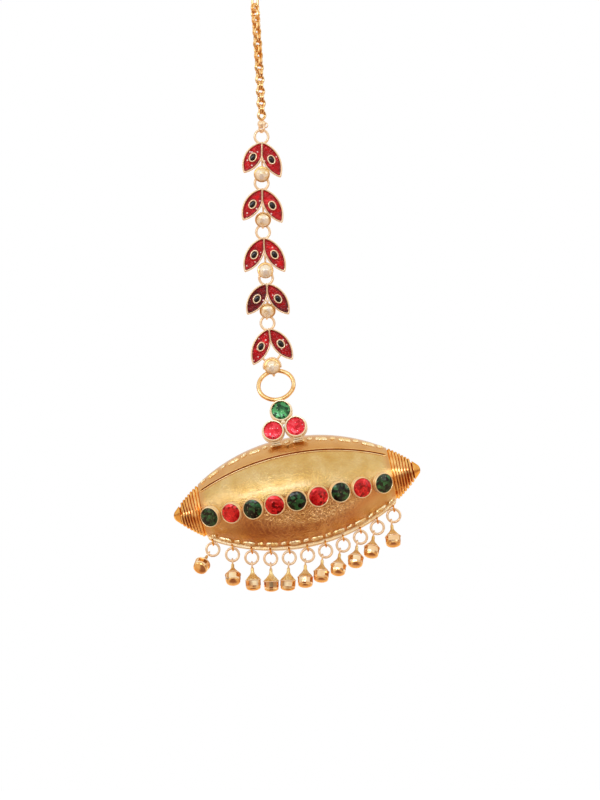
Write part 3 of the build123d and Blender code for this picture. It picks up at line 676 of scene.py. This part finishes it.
class Leaf:
    """One leaf of a link as (x, z), hanging from the origin. Its side is -1 for the left one."""

    def __init__(self, side, spread, length):
        a = math.radians(side * spread)
        self.side, self.length = side, length
        self.along, self.across = np.array([math.sin(a), -math.cos(a)]), np.array([math.cos(a), math.sin(a)])
        self.middle = self.along * length / 2

    def edge(self, side, inset, count, first=1.0, last=-1.0):
        """Points along one edge of its pointed oval, drawn inwards by inset."""
        half = self.length / 2
        radius = (half ** 2 + LEAF_HALF_WIDTH ** 2) / (2 * LEAF_HALF_WIDTH)
        reach = math.acos((radius - LEAF_HALF_WIDTH) / (radius - inset))
        angles = np.linspace(first, last, count) * reach
        x = side * ((radius - inset) * np.cos(angles) - (radius - LEAF_HALF_WIDTH))
        upright = np.stack([x, (radius - inset) * np.sin(angles) - half], 1)
        return upright @ np.array([self.across, -self.along])

    def loop(self, inset, soften=2):
        """Its outline, drawn inwards by inset and cut along the link's middle line."""
        side, cut, dense = self.side, inset / 2, np.linspace(1, -1, 400)
        across = side * self.edge(-side, inset, len(dense))[:, 0]
        cut_off = [i for i, x in enumerate(across) if x < cut - 1e-9] or [0]
        first, last = dense[max(cut_off[0] - 1, 0)], dense[min(cut_off[-1] + 1, len(dense) - 1)]
        low_part, top_part = self.edge(-side, inset, 34, -1, last), self.edge(-side, inset, 4, first, 1)
        low_part[-1, 0] = side * cut
        steps = np.linspace(0, 1, 16)[1:-1, None]
        straight = low_part[-1] * (1 - steps) + top_part[0] * steps
        straight[:, 0] = side * cut
        loop = np.concatenate([self.edge(side, inset, 44), low_part[1:], straight, top_part[:-1]])
        for _ in range(soften):
            loop = 0.5 * loop + 0.25 * (np.roll(loop, 1, 0) + np.roll(loop, -1, 0))
        return loop

    def around(self, x, z):
        """Points round its middle, by how far they are across the leaf and along it."""
        return self.middle + np.outer(x, self.across) + np.outer(z, self.along)

    def ovals(self, section):
        """Ovals round its eye. In the section, 0 is the ring's inner edge and 1 its outer one."""
        angles, rows = full_turn(48), []
        for grow, depth in section:
            half = [inner + (outer - inner) * grow for inner, outer in zip(EYE_INNER, EYE_OUTER)]
            rows.append(flat_rows(self.around(half[0] * np.sin(angles), -half[1] * np.cos(angles)), depth))
        return rows

    def enamel(self, painted_enamel_shade):
        """Its enamel, drawn up at the edges, with shade values that paint shade by its rim, round its eye
        and on parts of some leaves.
        """
        outer = self.loop(RIM - 0.03)
        offsets = outer - self.middle
        bearing = np.arctan2(offsets @ self.across / EYE_OUTER[0], offsets @ self.along / EYE_OUTER[1])
        half = [size - 0.03 for size in EYE_OUTER]
        oval = self.around(np.sin(bearing) * half[0], np.cos(bearing) * half[1])
        rows, shades = [], []
        reach = np.linalg.norm(outer - oval, axis=1)
        for level in np.concatenate([[0, 0.03, 0.08], np.linspace(0.16, 0.84, 8), [0.92, 0.97, 1.0]]):
            loop = outer * (1 - level) + oval * level
            from_rim, from_eye = level * reach, (1 - level) * reach
            rise = 0.10 * np.exp(-from_rim / 0.16) + 0.07 * np.exp(-from_eye / 0.14)
            ripple = [0.012 * lumps(x * 0.9, self.length, z * 0.9) for x, z in loop]
            rows.append(flat_rows(loop, -0.42 - rise + np.array(ripple)))
            # Painted shade: darker by the rim and round the eye.
            edge = np.exp(-from_rim / 0.42) * 0.85 + 0.35 * np.exp(-from_eye / 0.3)
            down = np.clip((loop - self.middle) @ self.along / (self.length / 2), -1, 1)
            dark = painted_enamel_shade[0] + (painted_enamel_shade[1] - painted_enamel_shade[0]) * (down + 1) / 2
            shades.extend(np.clip(edge + dark, 0, 1))
        return rows_part(rows), shades


def domed_disc(seed):
    """A domed disc round z with a rounded edge and shallow dents, and shade values that gild its rim and
    leave its middle pale, a painted highlight.
    """
    profile = [(0, 0.4), (1.9, 0.4), (2.04, 0.46), (DISC_R, 0.56), (DISC_R, 0.84), (2.05, 0.94),
               (1.94, 1.0), (1.8, 1.0), (DISC_RIM, 1.02)]
    ball = (DISC_RIM ** 2 + DISC_DOME ** 2) / (2 * DISC_DOME)
    for reach in np.linspace(1.62, 0, 18):
        profile.append((reach, 1.0 + DISC_DOME - ball + math.sqrt(ball ** 2 - reach ** 2)))
    verts, faces = lathe(profile, 64)
    shades = [clip((math.hypot(vert[0], vert[1] + 0.2) - 1.3) / 0.7) for vert in verts]
    for vert in verts:
        if vert[2] > 1.01:
            dent = abs(lumps(vert[0] * 0.8 + seed, vert[1] * 0.8, seed * 0.7))
            vert[2] -= 0.22 * dent * clip((vert[2] - 1.0) / 0.3)
    return (verts, faces), shades


def claw(radius, wire, front_rise, back_rise):
    """An open hook of wire in the YZ plane."""
    arc = [(0, radius * math.cos(a), radius * math.sin(a)) for a in np.linspace(math.pi, 2 * math.pi, 22)]
    return tube([(0, -radius, front_rise)] + arc + [(0, radius, back_rise)], wire)


def add_leaf(shape, eyes, number, leaf, place):
    """A leaf's rim and the ring round its eye, the eye, and its enamel as a piece of its own."""
    loops = [flat_rows(leaf.loop(inset), depth) for inset, depth in RIM_SECTION]
    shape.add(rows_part(loops, ends=True), place)
    shape.add(rows_part(leaf.ovals(EYE_RING)), place)
    eyes.add(rows_part(leaf.ovals(EYE_DOME), ends=True), place)
    part, shades = leaf.enamel(LEAF_PAINTED_SHADE.get((number, leaf.side), USUAL_LEAF_PAINTED_SHADE))
    name = "left" if leaf.side < 0 else "right"
    piece(f"enamel_fill_{name}_{number}", Shape().add(part, place, value=shades), RED_ENAMEL, "upper",
          [f"enamel_{name}_{number}"], crease=60, keep_values=True)


def make_link(number, row, place, claw_point):
    """A link: two leaves, the ring at their top, the disc in their fork and the claw behind it."""
    tilt, spread, left, right, disc_x, disc_drop = row
    shape, eyes = Shape(), Shape()
    for side, length in ((-1, left), (1, right)):
        add_leaf(shape, eyes, number, Leaf(side, spread, length), place)
    top_ring = place @ shift(LINK_RING_X, LINK_RING_Y, 1.33)
    shape.add(ring(LINK_RING_R - 0.08, 0.33, 64, 12, wobble=0.01), top_ring)
    disc = place @ turn("y", -tilt) @ shift(disc_x, 0, -disc_drop) @ turn("y", tilt)
    part, shades = domed_disc(number * 1.7)
    shape.add(part, disc @ turn("x", DISC_TILTS[number - 1]) @ FACING, slot=1, value=shades)
    if number == len(LINKS):
        reach, wire = BIG_CLAW
        arc = [(2.2 * math.sin(a), -0.25, 2.2 * math.cos(a)) for a in np.radians(np.linspace(-97, 97, 44))]
        shape.add(tube(arc, 0.28), disc)
        for side in (-1, 1):
            prong = tube([(0, 0.25, 1.9), (0, 0.2, 2.8), (0, 0.1, 3.7)], (0.32, 0.3, 0.26))
            shape.add(prong, disc @ turn("y", side * 42))
    else:
        reach, wire = SMALL_CLAW
        fork = at(np.linalg.inv(disc), at(place, 0, 0, -5.0))[2]
        shape.add(tube([(0, 0.15, 1.0), (0, 0.15, fork + 0.2)], 0.26, 12), disc)
        shape.add(tube([(0, -0.25, fork - 0.7), (0, -0.3, fork - 0.2), (0, -0.3, fork + 0.3)],
                       (0.1, 0.24, 0.36)), disc)
    front_rise = max(disc[2, 3] - claw_point[2], 0.3)
    shape.add(claw(reach, wire, front_rise, 0.7), shift(*claw_point) @ turn("y", tilt))
    piece(f"leaf_link_metal_{number}", shape, [PALE, DISC_GOLD], "upper",
          [f"leaf_link_{number}"], keep_values=True)
    piece(f"eyes_{number}", eyes, BLACK_ENAMEL, "upper", [f"eye_dots_{number}"])


def find_link_place(number, row):
    """Where a link's two leaves meet: its shape, drawn at the origin, is moved onto the CAD enamel."""
    tilt, spread, left, right = row[:4]
    spin = turn("y", tilt)
    points = np.concatenate([at(spin, flat_rows(Leaf(side, spread, length).loop(RIM + 0.05, 0), 0.0))
                             for side, length in ((-1, left), (1, right))])
    boxes = [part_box(f"enamel_{name}_{number}") for name in ("left", "right")]
    low, high = np.minimum(boxes[0][0], boxes[1][0]), np.maximum(boxes[0][1], boxes[1][1])
    want = (np.array(low) + np.array(high)) / 2 / MM
    have = (points.min(0) + points.max(0)) / 2
    return shift(want[0] - have[0], 0, want[2] - have[2]) @ spin


def make_links():
    """The five links. A claw holds the next link's ring, and the lowest one the big ring."""
    places = [find_link_place(number, row) for number, row in enumerate(LINKS, start=1)]
    hang = SMALL_CLAW[0] - SMALL_CLAW[1] - LINK_WIRE_R - CLAW_PLAY
    claw_points = [at(place, LINK_RING_X, LINK_RING_Y, 1.3 + LINK_RING_R) + np.array([0, 0, hang])
                   for place in places[1:]] + [PIVOT]
    for index, row in enumerate(LINKS):
        make_link(index + 1, row, places[index], claw_points[index])


# ---- pendant ----

def hammer(u, angle):
    """Depth of the drum's grain in millimetres and its shade value, at a distance along it and an angle.

    It is satin in front, from the slit downwards, and fades out at the windings and on the back. Below
    the stones its shade value calls for a darker, redder tone, a painted reflection, and right of the
    middle it is crinkled too, with a lighter tone there that is a painted sheen."""
    angle = (angle + 180) % 360 - 180
    ends = clip((24.8 - abs(u)) / 2.0)
    slit = clip((44.5 - angle) / 3.0) * clip((angle + 178) / 40)
    back = clip((130 - abs(angle)) / 40)
    satin = ends * slit * back
    crinkle = math.exp(-((u - 5.0) / 13.5) ** 2) * clip((2 - angle) / 8) * back
    crinkle *= 0.25 + 0.75 * clip((angle + 36) / 16)
    spot = Vector((u * 0.9, angle * MM_PER_DEGREE * 0.9, 3.0))
    ridges = 1 - abs(noise.noise(spot * 1.3)) * 2
    ridges = max(0.0, ridges) ** 3 + 0.5 * max(0.0, 1 - abs(noise.noise(spot * 2.6)) * 2) ** 3
    swell = 0.5 + 0.5 * lumps(u * 0.16, angle * 0.04, 9.0)
    grain = 0.5 + 0.5 * noise.noise(spot * 2.6)
    # Where the drum takes a darker, redder tone below the stones: a painted reflection.
    painted_reflection = clip((-1 - angle) / 7) * back * (1 - 0.35 * clip((-48 - angle) / 12))
    painted_reflection *= 1 - 0.85 * clip((u - 8) / 8) - 0.5 * clip((-10 - u) / 8)
    depth = 0.05 * swell * satin + 0.04 * grain * satin + 0.26 * crinkle * max(0.0, 1.3 - ridges) * 0.6
    return depth, min(1.0, 0.45 * satin + 0.2 * painted_reflection * ends + 0.6 * crinkle)


def make_drum():
    """The drum's shell with its open slit, in its own frame. Its rows are closest together in front."""
    share = np.interp(np.linspace(0, 1, 330), (0, 0.12, 0.35, 1), (0, 0.15, 0.59, 1))
    half_slit = SLIT_WIDTH / 2
    rows, inner_rows, shades = [], [], []
    for u in np.linspace(-WINDING_START, WINDING_START, 250):
        from_end = min(max(SLIT_LENGTH / 2 - abs(u), 0.0), half_slit)
        opening = math.sqrt(half_slit ** 2 - (half_slit - from_end) ** 2)
        edge = math.degrees(math.asin(opening / float(drum_radius(u))))
        row = []
        for angle in SLIT_ANGLE + edge + share * (360 - 2 * edge):
            depth, shade = hammer(u, angle)
            row.append(on_drum(u, 0.0, angle, -depth))
            shades.append(shade)
        rows.append(row)
        inner = np.linspace(SLIT_ANGLE + edge, SLIT_ANGLE + 360 - edge, 26)
        inner_rows.append([on_drum(u, 0.0, angle, -WALL) for angle in inner])
    shape = Shape()
    shape.add(rows_part(rows, around=False), PENDANT, value=shades)
    # The inside and the slit's walls take the painted-shade material.
    shape.add(rows_part(inner_rows, around=False), PENDANT, slot=1)
    for side in (0, -1):
        walls = [[row[side] for row in rows], [row[side] for row in inner_rows]]
        shape.add(rows_part(walls, around=False), PENDANT, slot=1)
    piece("drum_shell", shape, [SATIN, SHADED_INSIDE], "pendant", ["pendant_frame"], crease=60,
          keep_values=True)


def slot_path(half_length, offset, count=120):
    """A closed path round the slit, at an offset from its middle line."""
    top = [(x, offset) for x in np.linspace(half_length - offset, offset - half_length, count)]
    left = [(offset - half_length - offset * math.sin(a), offset * math.cos(a))
            for a in np.linspace(0, math.pi, 9)[1:-1]]
    return top + left + [(-x, -y) for x, y in top] + [(-x, -y) for x, y in left]


def make_lips():
    """The raised lips of the slit: a bar on the drum with a section of (across, height)."""
    section = ((-0.13, -0.3), (-0.13, 0.06), (-0.08, 0.13), (0.02, 0.16), (0.12, 0.14), (0.17, 0.06),
               (0.17, -0.3))
    path = np.array(slot_path(LIP_HALF_LENGTH, LIP_OFFSET))
    rows = []
    for spot, (x, y) in zip(path, directions(path, closed=True)):
        places = [(spot + np.array([-y, x]) * across, height) for across, height in section]
        rows.append([on_drum(u, v, SLIT_ANGLE, height) for (u, v), height in places])
    part = rows_part(rows, closed=True)
    piece("slit_lips", Shape().add(part, PENDANT), POLISHED, "pendant")


def trim_lump(u, across, turned, length, width, angle, seed):
    """A grained lump of the trim, raised from the drum: long, low and cut across."""
    c, s = math.cos(math.radians(turned)), math.sin(math.radians(turned))
    rows = []
    for along in np.linspace(-1, 1, 33):
        row = []
        for side in np.linspace(-1, 1, 11):
            half = width / 2 * max(0.05, 1 - abs(along) ** 3.5) ** 0.5
            a, b = along * length / 2, side * half
            rough = abs(lumps(a * 1.7 + seed, b * 1.7, 1.7)) * 1.5
            top = max(0.0, (1 - side ** 4) * (1 - along ** 6)) ** 0.6
            height = -0.12 + top * (0.66 - 0.4 * rough)
            row.append(on_drum(u + a * c - b * s, across + a * s + b * c, angle, height))
        rows.append(row)
    return rows_part(rows, around=False)


def make_trims():
    """Two trims of long lumps, with a short turned one in each gap and at each end."""
    shape = Shape()
    # how many, how far across, how far turned, length, width, and a step that tells their grain apart
    kinds = ((8, 0, 0, 3.3, 1.4, 2.3), (9, 0.3, 28, 1.7, 0.8, 3.1))
    for angle in TRIM_ANGLES:
        for count, across, turned, length, width, step in kinds:
            for index in range(count):
                u = (index - (count - 1) / 2) * TRIM_PITCH
                lump = trim_lump(u, across, turned, length, width, angle, index * step + angle)
                shape.add(lump, PENDANT)
    piece("leaf_trims", shape, TRIM_GOLD, "pendant", crease=60)


def make_strip():
    """The nicked flat strip that the eyelets hang from, lower at its ends."""
    rows, side = [], STRIP_HALF_WIDTH
    for u in np.linspace(-24.9, 24.9, 260):
        nick = 0.05 * max(0.0, lumps(u * 2.1, 4, 2)) + 0.02 * max(0.0, math.sin(u * 5.2)) ** 6
        end = max(0.0, abs(u) - 24.6) / 0.3 * 0.2
        top = STRIP_HEIGHT - nick - end
        section = [(-side, -0.3), (-side, top - 0.16), (-0.4, top - 0.04), (-0.28, top), (0.28, top),
                   (0.4, top - 0.04), (side - nick * 0.6, top - 0.16), (side - nick * 0.5, -0.3)]
        rows.append([on_drum(u, across, STRIP_ANGLE, height) for across, height in section])
    shape = Shape().add(rows_part(rows, ends=True), PENDANT)
    piece("lower_strip", shape, STRIP_GOLD, "pendant")


def cone_part():
    """One closed end of the drum, round z: the cone under the winding, its shoulder and the rounded tip."""
    start, end = WINDING_START, WINDING_END
    profile = [(start - 0.3, drum_radius(start - 0.3, -0.5)), (start, drum_radius(start, -0.02)),
               (start + 0.02, drum_radius(start, -0.45))]
    profile += [(u, drum_radius(u, -0.42)) for u in np.linspace(25.2, 30.95, 20)]
    profile += [(end, drum_radius(end, -0.1)), (31.12, drum_radius(31.12))]
    profile += [(u, drum_radius(u)) for u in np.linspace(31.3, 32.3, 5)]
    slope = math.asin(DRUM_HALF_LENGTH / DRUM_CURVE_R)
    radius = float(drum_radius(DRUM_HALF_LENGTH))
    ball, centre = radius / math.cos(slope), DRUM_HALF_LENGTH - radius * math.tan(slope)
    profile += [(centre + ball * math.cos(a), ball * math.sin(a))
                for a in np.linspace(math.pi / 2 - slope, 0, 8)]
    return lathe([(float(r), float(u)) for u, r in profile], 96)


def winding_part():
    """The wire wound round the drum's right end, slightly uneven in pitch and thickness."""
    turns = np.linspace(0, WINDING_TURNS, WINDING_TURNS * 60 + 1)
    pitch = (WINDING_END - WINDING_START - 0.76) / WINDING_TURNS
    window = np.sin(np.pi * np.clip(turns / WINDING_TURNS, 0, 1)) ** 0.7
    u = WINDING_START + 0.38 + turns * pitch + 0.2 * window * np.sin(turns * 2 * math.pi + 0.6)
    r, angle = drum_radius(u, -0.24), turns * 2 * math.pi
    return tube(xyz(u, r * np.cos(angle), r * np.sin(angle)), 0.375 + 0.012 * np.sin(angle * 3.7), 8)


def make_ends():
    cone, winding = cone_part(), winding_part()
    for name, side, spin in (("right", 1, 0), ("left", -1, 180)):
        shape = Shape().add(cone, PENDANT @ turn("y", 90 * side))
        piece(f"cone_{name}", shape, RICH, "pendant", crease=50)
        shape = Shape().add(winding, PENDANT @ turn("z", spin))
        piece(f"wire_winding_{name}", shape, WOUND, "pendant", [f"winding_{name}"])


def make_stone(name, node, place, radius, floor, seed, look):
    """A cut stone: a straight girdle and a low crown of long facets with a small table."""
    # turned by how much of a facet, how far out, and how high
    levels = ((0, 0.98, 0.1), (0, 1.0, 0.5), (0, 1.0, 0.6), (0.5, 0.72, 0.8), (0, 0.36, 0.93))
    rows = []
    for offset, reach, height in levels:
        angles = seed * 0.61 + (np.arange(12) + offset) * 2 * math.pi / 12
        rows.append(circle(radius * reach, angles, floor + height))
    piece(name, Shape().add(facet_part(rows), place), look, "pendant", [node], crease=0)


def cup_profile(radius, bore, low, high, floor):
    """A thin bezel whose rim is rubbed over the stone."""
    lip = bore - 0.03
    return [(radius, low), (radius, high - 0.28), (radius - 0.03, high - 0.12), (radius - 0.1, high - 0.02),
            (radius - 0.16, high + 0.02), (lip + 0.06, high), (lip, high - 0.07), (lip + 0.02, high - 0.16),
            (bore, high - 0.3), (bore, floor), (0, floor)]


def make_row():
    """Nine stones in a row, in turn green and red, each in a cup with a small foot."""
    cups = Shape()
    foot = [(CUP_R + 0.12, -0.4), (CUP_R + 0.13, 0.06), (CUP_R + 0.08, 0.14), (CUP_R - 0.02, 0.18),
            (CUP_R - 0.1, -0.4)]
    for number in range(1, 10):
        u = ROW_SHIFT + (number - 5) * ROW_PITCH
        angle = -math.degrees(math.asin(ROW_DROP / float(drum_radius(u))))
        place = PENDANT @ surface_place(u, angle)
        cups.add(lathe(cup_profile(CUP_R + 0.06, CUP_BORE, -0.5, 1.0, 0.3), 56), place)
        cups.add(lathe(foot, 56), place)
        look, slot = (SHADED_ROW_GREEN, "green_glass") if number % 2 else (ROW_RED, "red_glass")
        make_stone(f"row_stone_{number}", f"stone_row_{number}", place, CUP_BORE - STONE_PLAY, 0.35,
                   number * 1.3, look)
    piece("row_bezels", cups, ROW_CUP_GOLD, "pendant")


def bar(length, width, height, bevel=0.12):
    """A small bar with bevelled long edges, centred on the origin."""
    half_w, half_h = width / 2, height / 2
    section = [(-half_w, -half_h + bevel), (-half_w + bevel, -half_h), (half_w - bevel, -half_h),
               (half_w, -half_h + bevel), (half_w, half_h - bevel), (half_w - bevel, half_h),
               (-half_w + bevel, half_h), (-half_w, half_h - bevel)]
    ends = [(-length / 2, 0.86), (-length / 2 + bevel, 1.0), (length / 2 - bevel, 1.0), (length / 2, 0.86)]
    rows = [[(x, y * scale, z * scale) for y, z in section] for x, scale in ends]
    return rows_part(rows, ends=True)


def big_ring_path(half_width=4.6, side_r=3.4):
    """An oval of four arcs in the XZ plane."""
    side_x, rise = half_width - side_r, BIG_RING_RISE
    crown = (side_x ** 2 + rise ** 2 - side_r ** 2) / (2 * (rise - side_r))
    join = math.atan2(crown - rise, side_x)
    points = []
    for base, sign in ((0, 1), (math.pi, -1)):
        for a in np.linspace(-join, join, 26)[:-1]:
            points.append((math.cos(base) * side_x + side_r * math.cos(base + a), 0,
                           side_r * math.sin(base + a)))
        for a in np.linspace(join, math.pi - join, 26)[:-1]:
            points.append((sign * crown * math.cos(a), 0, sign * (crown * math.sin(a) + rise - crown)))
    return points


def make_head():
    """The big ring, three cups with their stones, a ball between them and two stepped legs."""
    shape = Shape()
    big_ring = tube(big_ring_path(), BIG_RING_WIRE_R, 14, closed=True)
    shape.add(big_ring, HEAD @ shift(0, 0, -BIG_RING_RISE), slot=1)
    base = [(0, -1.2), (HEAD_BASE_R - 0.12, -1.2), (HEAD_BASE_R, -1.1), (HEAD_BASE_R, -0.52),
            (HEAD_BASE_R - 0.1, -0.42), (HEAD_CUP_R - 0.1, -0.38)]
    for index, ((x, drop), name) in enumerate(zip(HEAD_CUPS, ("green", "red_left", "red_right"))):
        place = HEAD @ shift(x, 0, -drop) @ FACING
        shape.add(lathe(cup_profile(HEAD_CUP_R, HEAD_CUP_BORE, -0.5, 1.0, -0.1), 60), place)
        shape.add(lathe(base, 60), place)
        look, slot = (HEAD_RED, "red_glass") if index else (HEAD_GREEN, "green_glass")
        make_stone(f"head_stone_{name}", f"stone_head_{name}", place, HEAD_CUP_BORE - STONE_PLAY, -0.05,
                   index * 2.1 + 0.4, look)
    ball_drop = sum(drop for _, drop in HEAD_CUPS) / 3
    shape.add(lumpy_ball(0.62, 0.04, 5.5, 3), HEAD @ shift(0, -0.75, -ball_drop))
    for x, _ in HEAD_CUPS[1:]:
        for level, (length, width) in enumerate(((2.3, 2.6), (2.5, 3.0), (2.6, 3.4))):
            shape.add(bar(length, width, 0.36), PENDANT @ shift(x, -5.7, 14.6 - 0.5 * level))
    piece("head_setting", shape, [CUP_GOLD, RING_GOLD], "pendant")


def make_eyelets():
    """The eleven eyes under the strip that the small rings hang from."""
    shape = Shape()
    for number in range(1, len(DROP_HANGS) + 1):
        centre = middle_of(f"jump_ring_{number}") + np.array([0, 0, SEAT + JUMP_RING_R])
        spot = axes(centre, *PENDANT[:3, :3].T)
        shape.add(ring(EYELET_R + 0.03, 0.22, 28, 8), spot @ turn("z", 90))
    piece("eyelets", shape, RICH, "pendant")


def drop_parts():
    """A bell bead's belt of flat mirrors, round foot, grained cone cap and rim, round the belt's middle."""
    sides = 12
    steps = 2 * sides
    theta = 0.2 + np.arange(steps) * math.pi / sides
    flat = np.where(np.arange(steps) % 2, math.cos(math.pi / sides) + 0.014, 1.0)
    uneven = np.repeat([random.uniform(-0.03, 0.0) for _ in range(sides)], 2)

    def faceted(radius, height, roundness):
        reach = radius * ((flat * (1 - roundness) + roundness) + uneven * (1 - roundness))
        return circle(reach, theta, height)

    low_edge = faceted(1.86, -0.86, 0)
    belt = [faceted(1.9, 0.95, 0), faceted(DROP_BELT_R, 0.84, 0), faceted(DROP_BELT_R, -0.42, 0), low_edge]
    foot = [low_edge]
    foot += [faceted(1.9 * math.cos(a), -0.86 - 0.89 * math.sin(a), clip(math.degrees(a) / 22))
             for a in np.radians([8, 18, 30, 42, 54, 68, 80, 88])]
    # radius, height and depth of the grain, from the rim up to the cap's neck
    grain = ((2.0, 1.06, 0.01), (1.9, 1.14, 0.05), (1.68, 1.4, 0.08), (1.38, 1.72, 0.08), (1.08, 2.06, 0.07),
             (0.82, 2.38, 0.05), (0.63, 2.68, 0.03), (0.48, 3.0, 0.01), (0.42, 3.3, 0), (0.4, 4.1, 0),
             (0.3, 4.3, 0))
    cap, angles = [], full_turn(72)
    for reach, height, ridge in grain:
        spread = reach + ridge * np.cos(18 * angles) + 0.6 * ridge * np.cos(11 * angles + height * 7)
        cap.append(circle(spread, angles, height))
    rim = [(1.8, 0.88), (2.04, 0.89), (2.1, 0.94), (2.115, 1.01), (2.08, 1.08), (1.98, 1.12), (1.85, 1.1)]
    return rows_part(belt), rows_part(foot, ends=True), rows_part(cap), lathe(rim, 72)


def make_drops():
    hang = shift(0, 0, -SEAT - DROP_EYE_TO_BELT)
    for number, (hook, lean, tilt) in enumerate(DROP_HANGS, start=1):
        parts = drop_parts()
        centre = shift(*middle_of(f"jump_ring_{number}"))
        wire = cut_ring(JUMP_RING_R - 0.08, 0.33, random.uniform(35, 150) * random.choice((-1, 1)))
        piece(f"small_ring_{number}", Shape().add(wire, centre), PALE, "pendant",
              [f"jump_ring_{number}"])
        spot = at(centre @ turn("y", -hook), 0, 0, -JUMP_RING_R)
        place = shift(*spot) @ turn("y", -lean) @ turn("x", -tilt)
        spun = place @ turn("z", random.uniform(-15, 15)) @ hang
        shape = Shape()
        for slot, part in enumerate(parts):
            shape.add(part, spun, slot=slot)
        shape.add(ring(EYELET_R + 0.03, 0.22, 30, 8), place @ shift(0, 0, -SEAT) @ turn("z", 90), slot=3)
        piece(f"bell_drop_{number}", shape, [DROP_GOLD, FOOT_GOLD, CAP_GOLD, PALE], "pendant",
              [f"drop_{number}"], crease=14)


# ---- studio, in metres ----

CAMERA_PLACE = (0.01175, -0.9, -0.1138)
FRAME_HEIGHT = 0.2089          # what the frame's longer side takes in, at the jewel
JEWEL_MIDDLE = (0.008, 0, -0.13)
FLOOR_Z, FLOOR_FRONT, FLOOR_BACK = -0.5, 0.3, 2.5


def make_world():
    """Soft studio light: pale above, warm below, dark behind the camera. The camera itself sees white."""
    world = bpy.data.worlds.new("studio")
    bpy.context.scene.world = world
    world.use_nodes = True
    sky = Nodes(world.node_tree)
    towards = sky.node("TexCoord").outputs["Generated"]
    x, y, z = sky.node("SeparateXYZ", {0: towards}).outputs
    tone = sky.ramp(sky.ranged(z, -1, 1), (0.0, (0.28, 0.11, 0.07, 1)), (0.30, (0.25, 0.09, 0.055, 1)),
                    (0.46, (0.25, 0.11, 0.07, 1)), (0.53, (0.46, 0.32, 0.24, 1)),
                    (0.60, (0.92, 0.88, 0.83, 1)), (0.88, (0.97, 0.95, 0.90, 1)),
                    (1.0, (0.94, 0.82, 0.62, 1)))
    below = sky.ranged(z, 0.02, -0.14)
    sides = sky.math("MULTIPLY", below, sky.ranged(sky.math("MULTIPLY", x, x), 0.09, 0.27))
    behind = sky.math("MULTIPLY", below, sky.ranged(y, 0.0, 0.4))
    ahead = sky.math("MULTIPLY", sky.ranged(y, -0.75, -0.9), sky.ranged(z, -0.2, -0.06))
    tone = sky.mix(sides, tone, (0.80, 0.56, 0.36, 1))
    tone = sky.mix(behind, tone, (0.86, 0.58, 0.44, 1))
    tone = sky.mix(ahead, tone, (0.92, 0.86, 0.78, 1))
    strength = sky.ranged(y, -0.993, -0.978, 0.25)
    studio = sky.node("Background", {"Color": tone, "Strength": strength}).outputs[0]
    white = sky.node("Background", {"Color": (1, 1, 1, 1)}).outputs[0]
    path = sky.node("LightPath").outputs
    seen = sky.math("MAXIMUM", path["Is Camera Ray"], path["Is Transmission Ray"])
    shown = sky.node("MixShader", {0: seen, 1: studio, 2: white}).outputs[0]
    sky.node("OutputWorld", {0: shown})


def make_floor():
    """A pale floor below and behind the jewel; it is clear when seen from underneath."""
    mesh = bpy.data.meshes.new("floor")
    corners = ((-2, FLOOR_FRONT), (2, FLOOR_FRONT), (2, FLOOR_BACK), (-2, FLOOR_BACK))
    mesh.from_pydata([(x, y, FLOOR_Z) for x, y in corners], [], [(0, 1, 2, 3)])
    floor = new_object("floor", mesh)
    look = Look("pale_floor", Roughness=0.9)
    look.set(Base_Color=look.ramp(look.noise(3, 3), (0.3, (236, 236, 236)), (0.7, (242, 242, 242))))
    path = look.node("LightPath").outputs
    seen = look.math("MAXIMUM", path["Is Camera Ray"],
                     look.math("MAXIMUM", path["Is Glossy Ray"], path["Is Transmission Ray"]))
    lift = look.node("Emission", {"Strength": look.math("MULTIPLY", seen, 0.35)}).outputs[0]
    both = look.node("AddShader", {0: look.shader.outputs[0], 1: lift}).outputs[0]
    under = look.node("NewGeometry").outputs["Backfacing"]
    clear = look.node("BsdfTransparent").outputs[0]
    shown = look.node("MixShader", {0: under, 1: both, 2: clear}).outputs[0]
    look.tree.links.new(shown, look.output.inputs[0])
    mesh.materials.append(look.material)


def lamp(name, azimuth, elevation, distance, size, radiance, roll=0.0, tint=(1, 1, 1)):
    """A soft rectangular lamp that looks at the jewel. Azimuth 0 is in front, positive to the right."""
    a, e = math.radians(azimuth), math.radians(elevation)
    away = Vector((math.sin(a) * math.cos(e), -math.cos(a) * math.cos(e), math.sin(e)))
    data = bpy.data.lights.new(name, "AREA")
    data.shape = "RECTANGLE"
    data.size, data.size_y = size
    data.color = tint
    data.energy = radiance * math.pi * size[0] * size[1]
    obj = new_object(name, data)
    obj.location = Vector(JEWEL_MIDDLE) + away * distance
    obj.rotation_mode = "QUATERNION"
    obj.rotation_quaternion = Quaternion(away, math.radians(roll)) @ away.to_track_quat("Z", "Y")
    obj.visible_camera = False


def make_camera():
    data = bpy.data.cameras.new("camera")
    data.sensor_width = 36
    data.lens = data.sensor_width * -CAMERA_PLACE[1] / FRAME_HEIGHT
    data.clip_end = 20
    camera = new_object("camera", data)
    camera.location = CAMERA_PLACE
    camera.rotation_euler = (math.radians(90), 0, 0)
    bpy.context.scene.camera = camera


make_camera()
make_world()
make_floor()
lamp("key", -20, 14, 1.1, (1.05, 0.14), 5.0, roll=9, tint=(0.84, 0.90, 1.0))
lamp("left", -60, 10, 1.2, (0.36, 0.5), 1.2)
lamp("right", 60, 14, 1.2, (0.36, 0.5), 1.2)

make_hook()
make_chain()
make_bead()
make_links()
make_drum()
make_lips()
make_trims()
make_strip()
make_ends()
make_row()
make_head()
make_eyelets()
make_drops()

bpy.context.scene.view_settings.view_transform = "Standard"
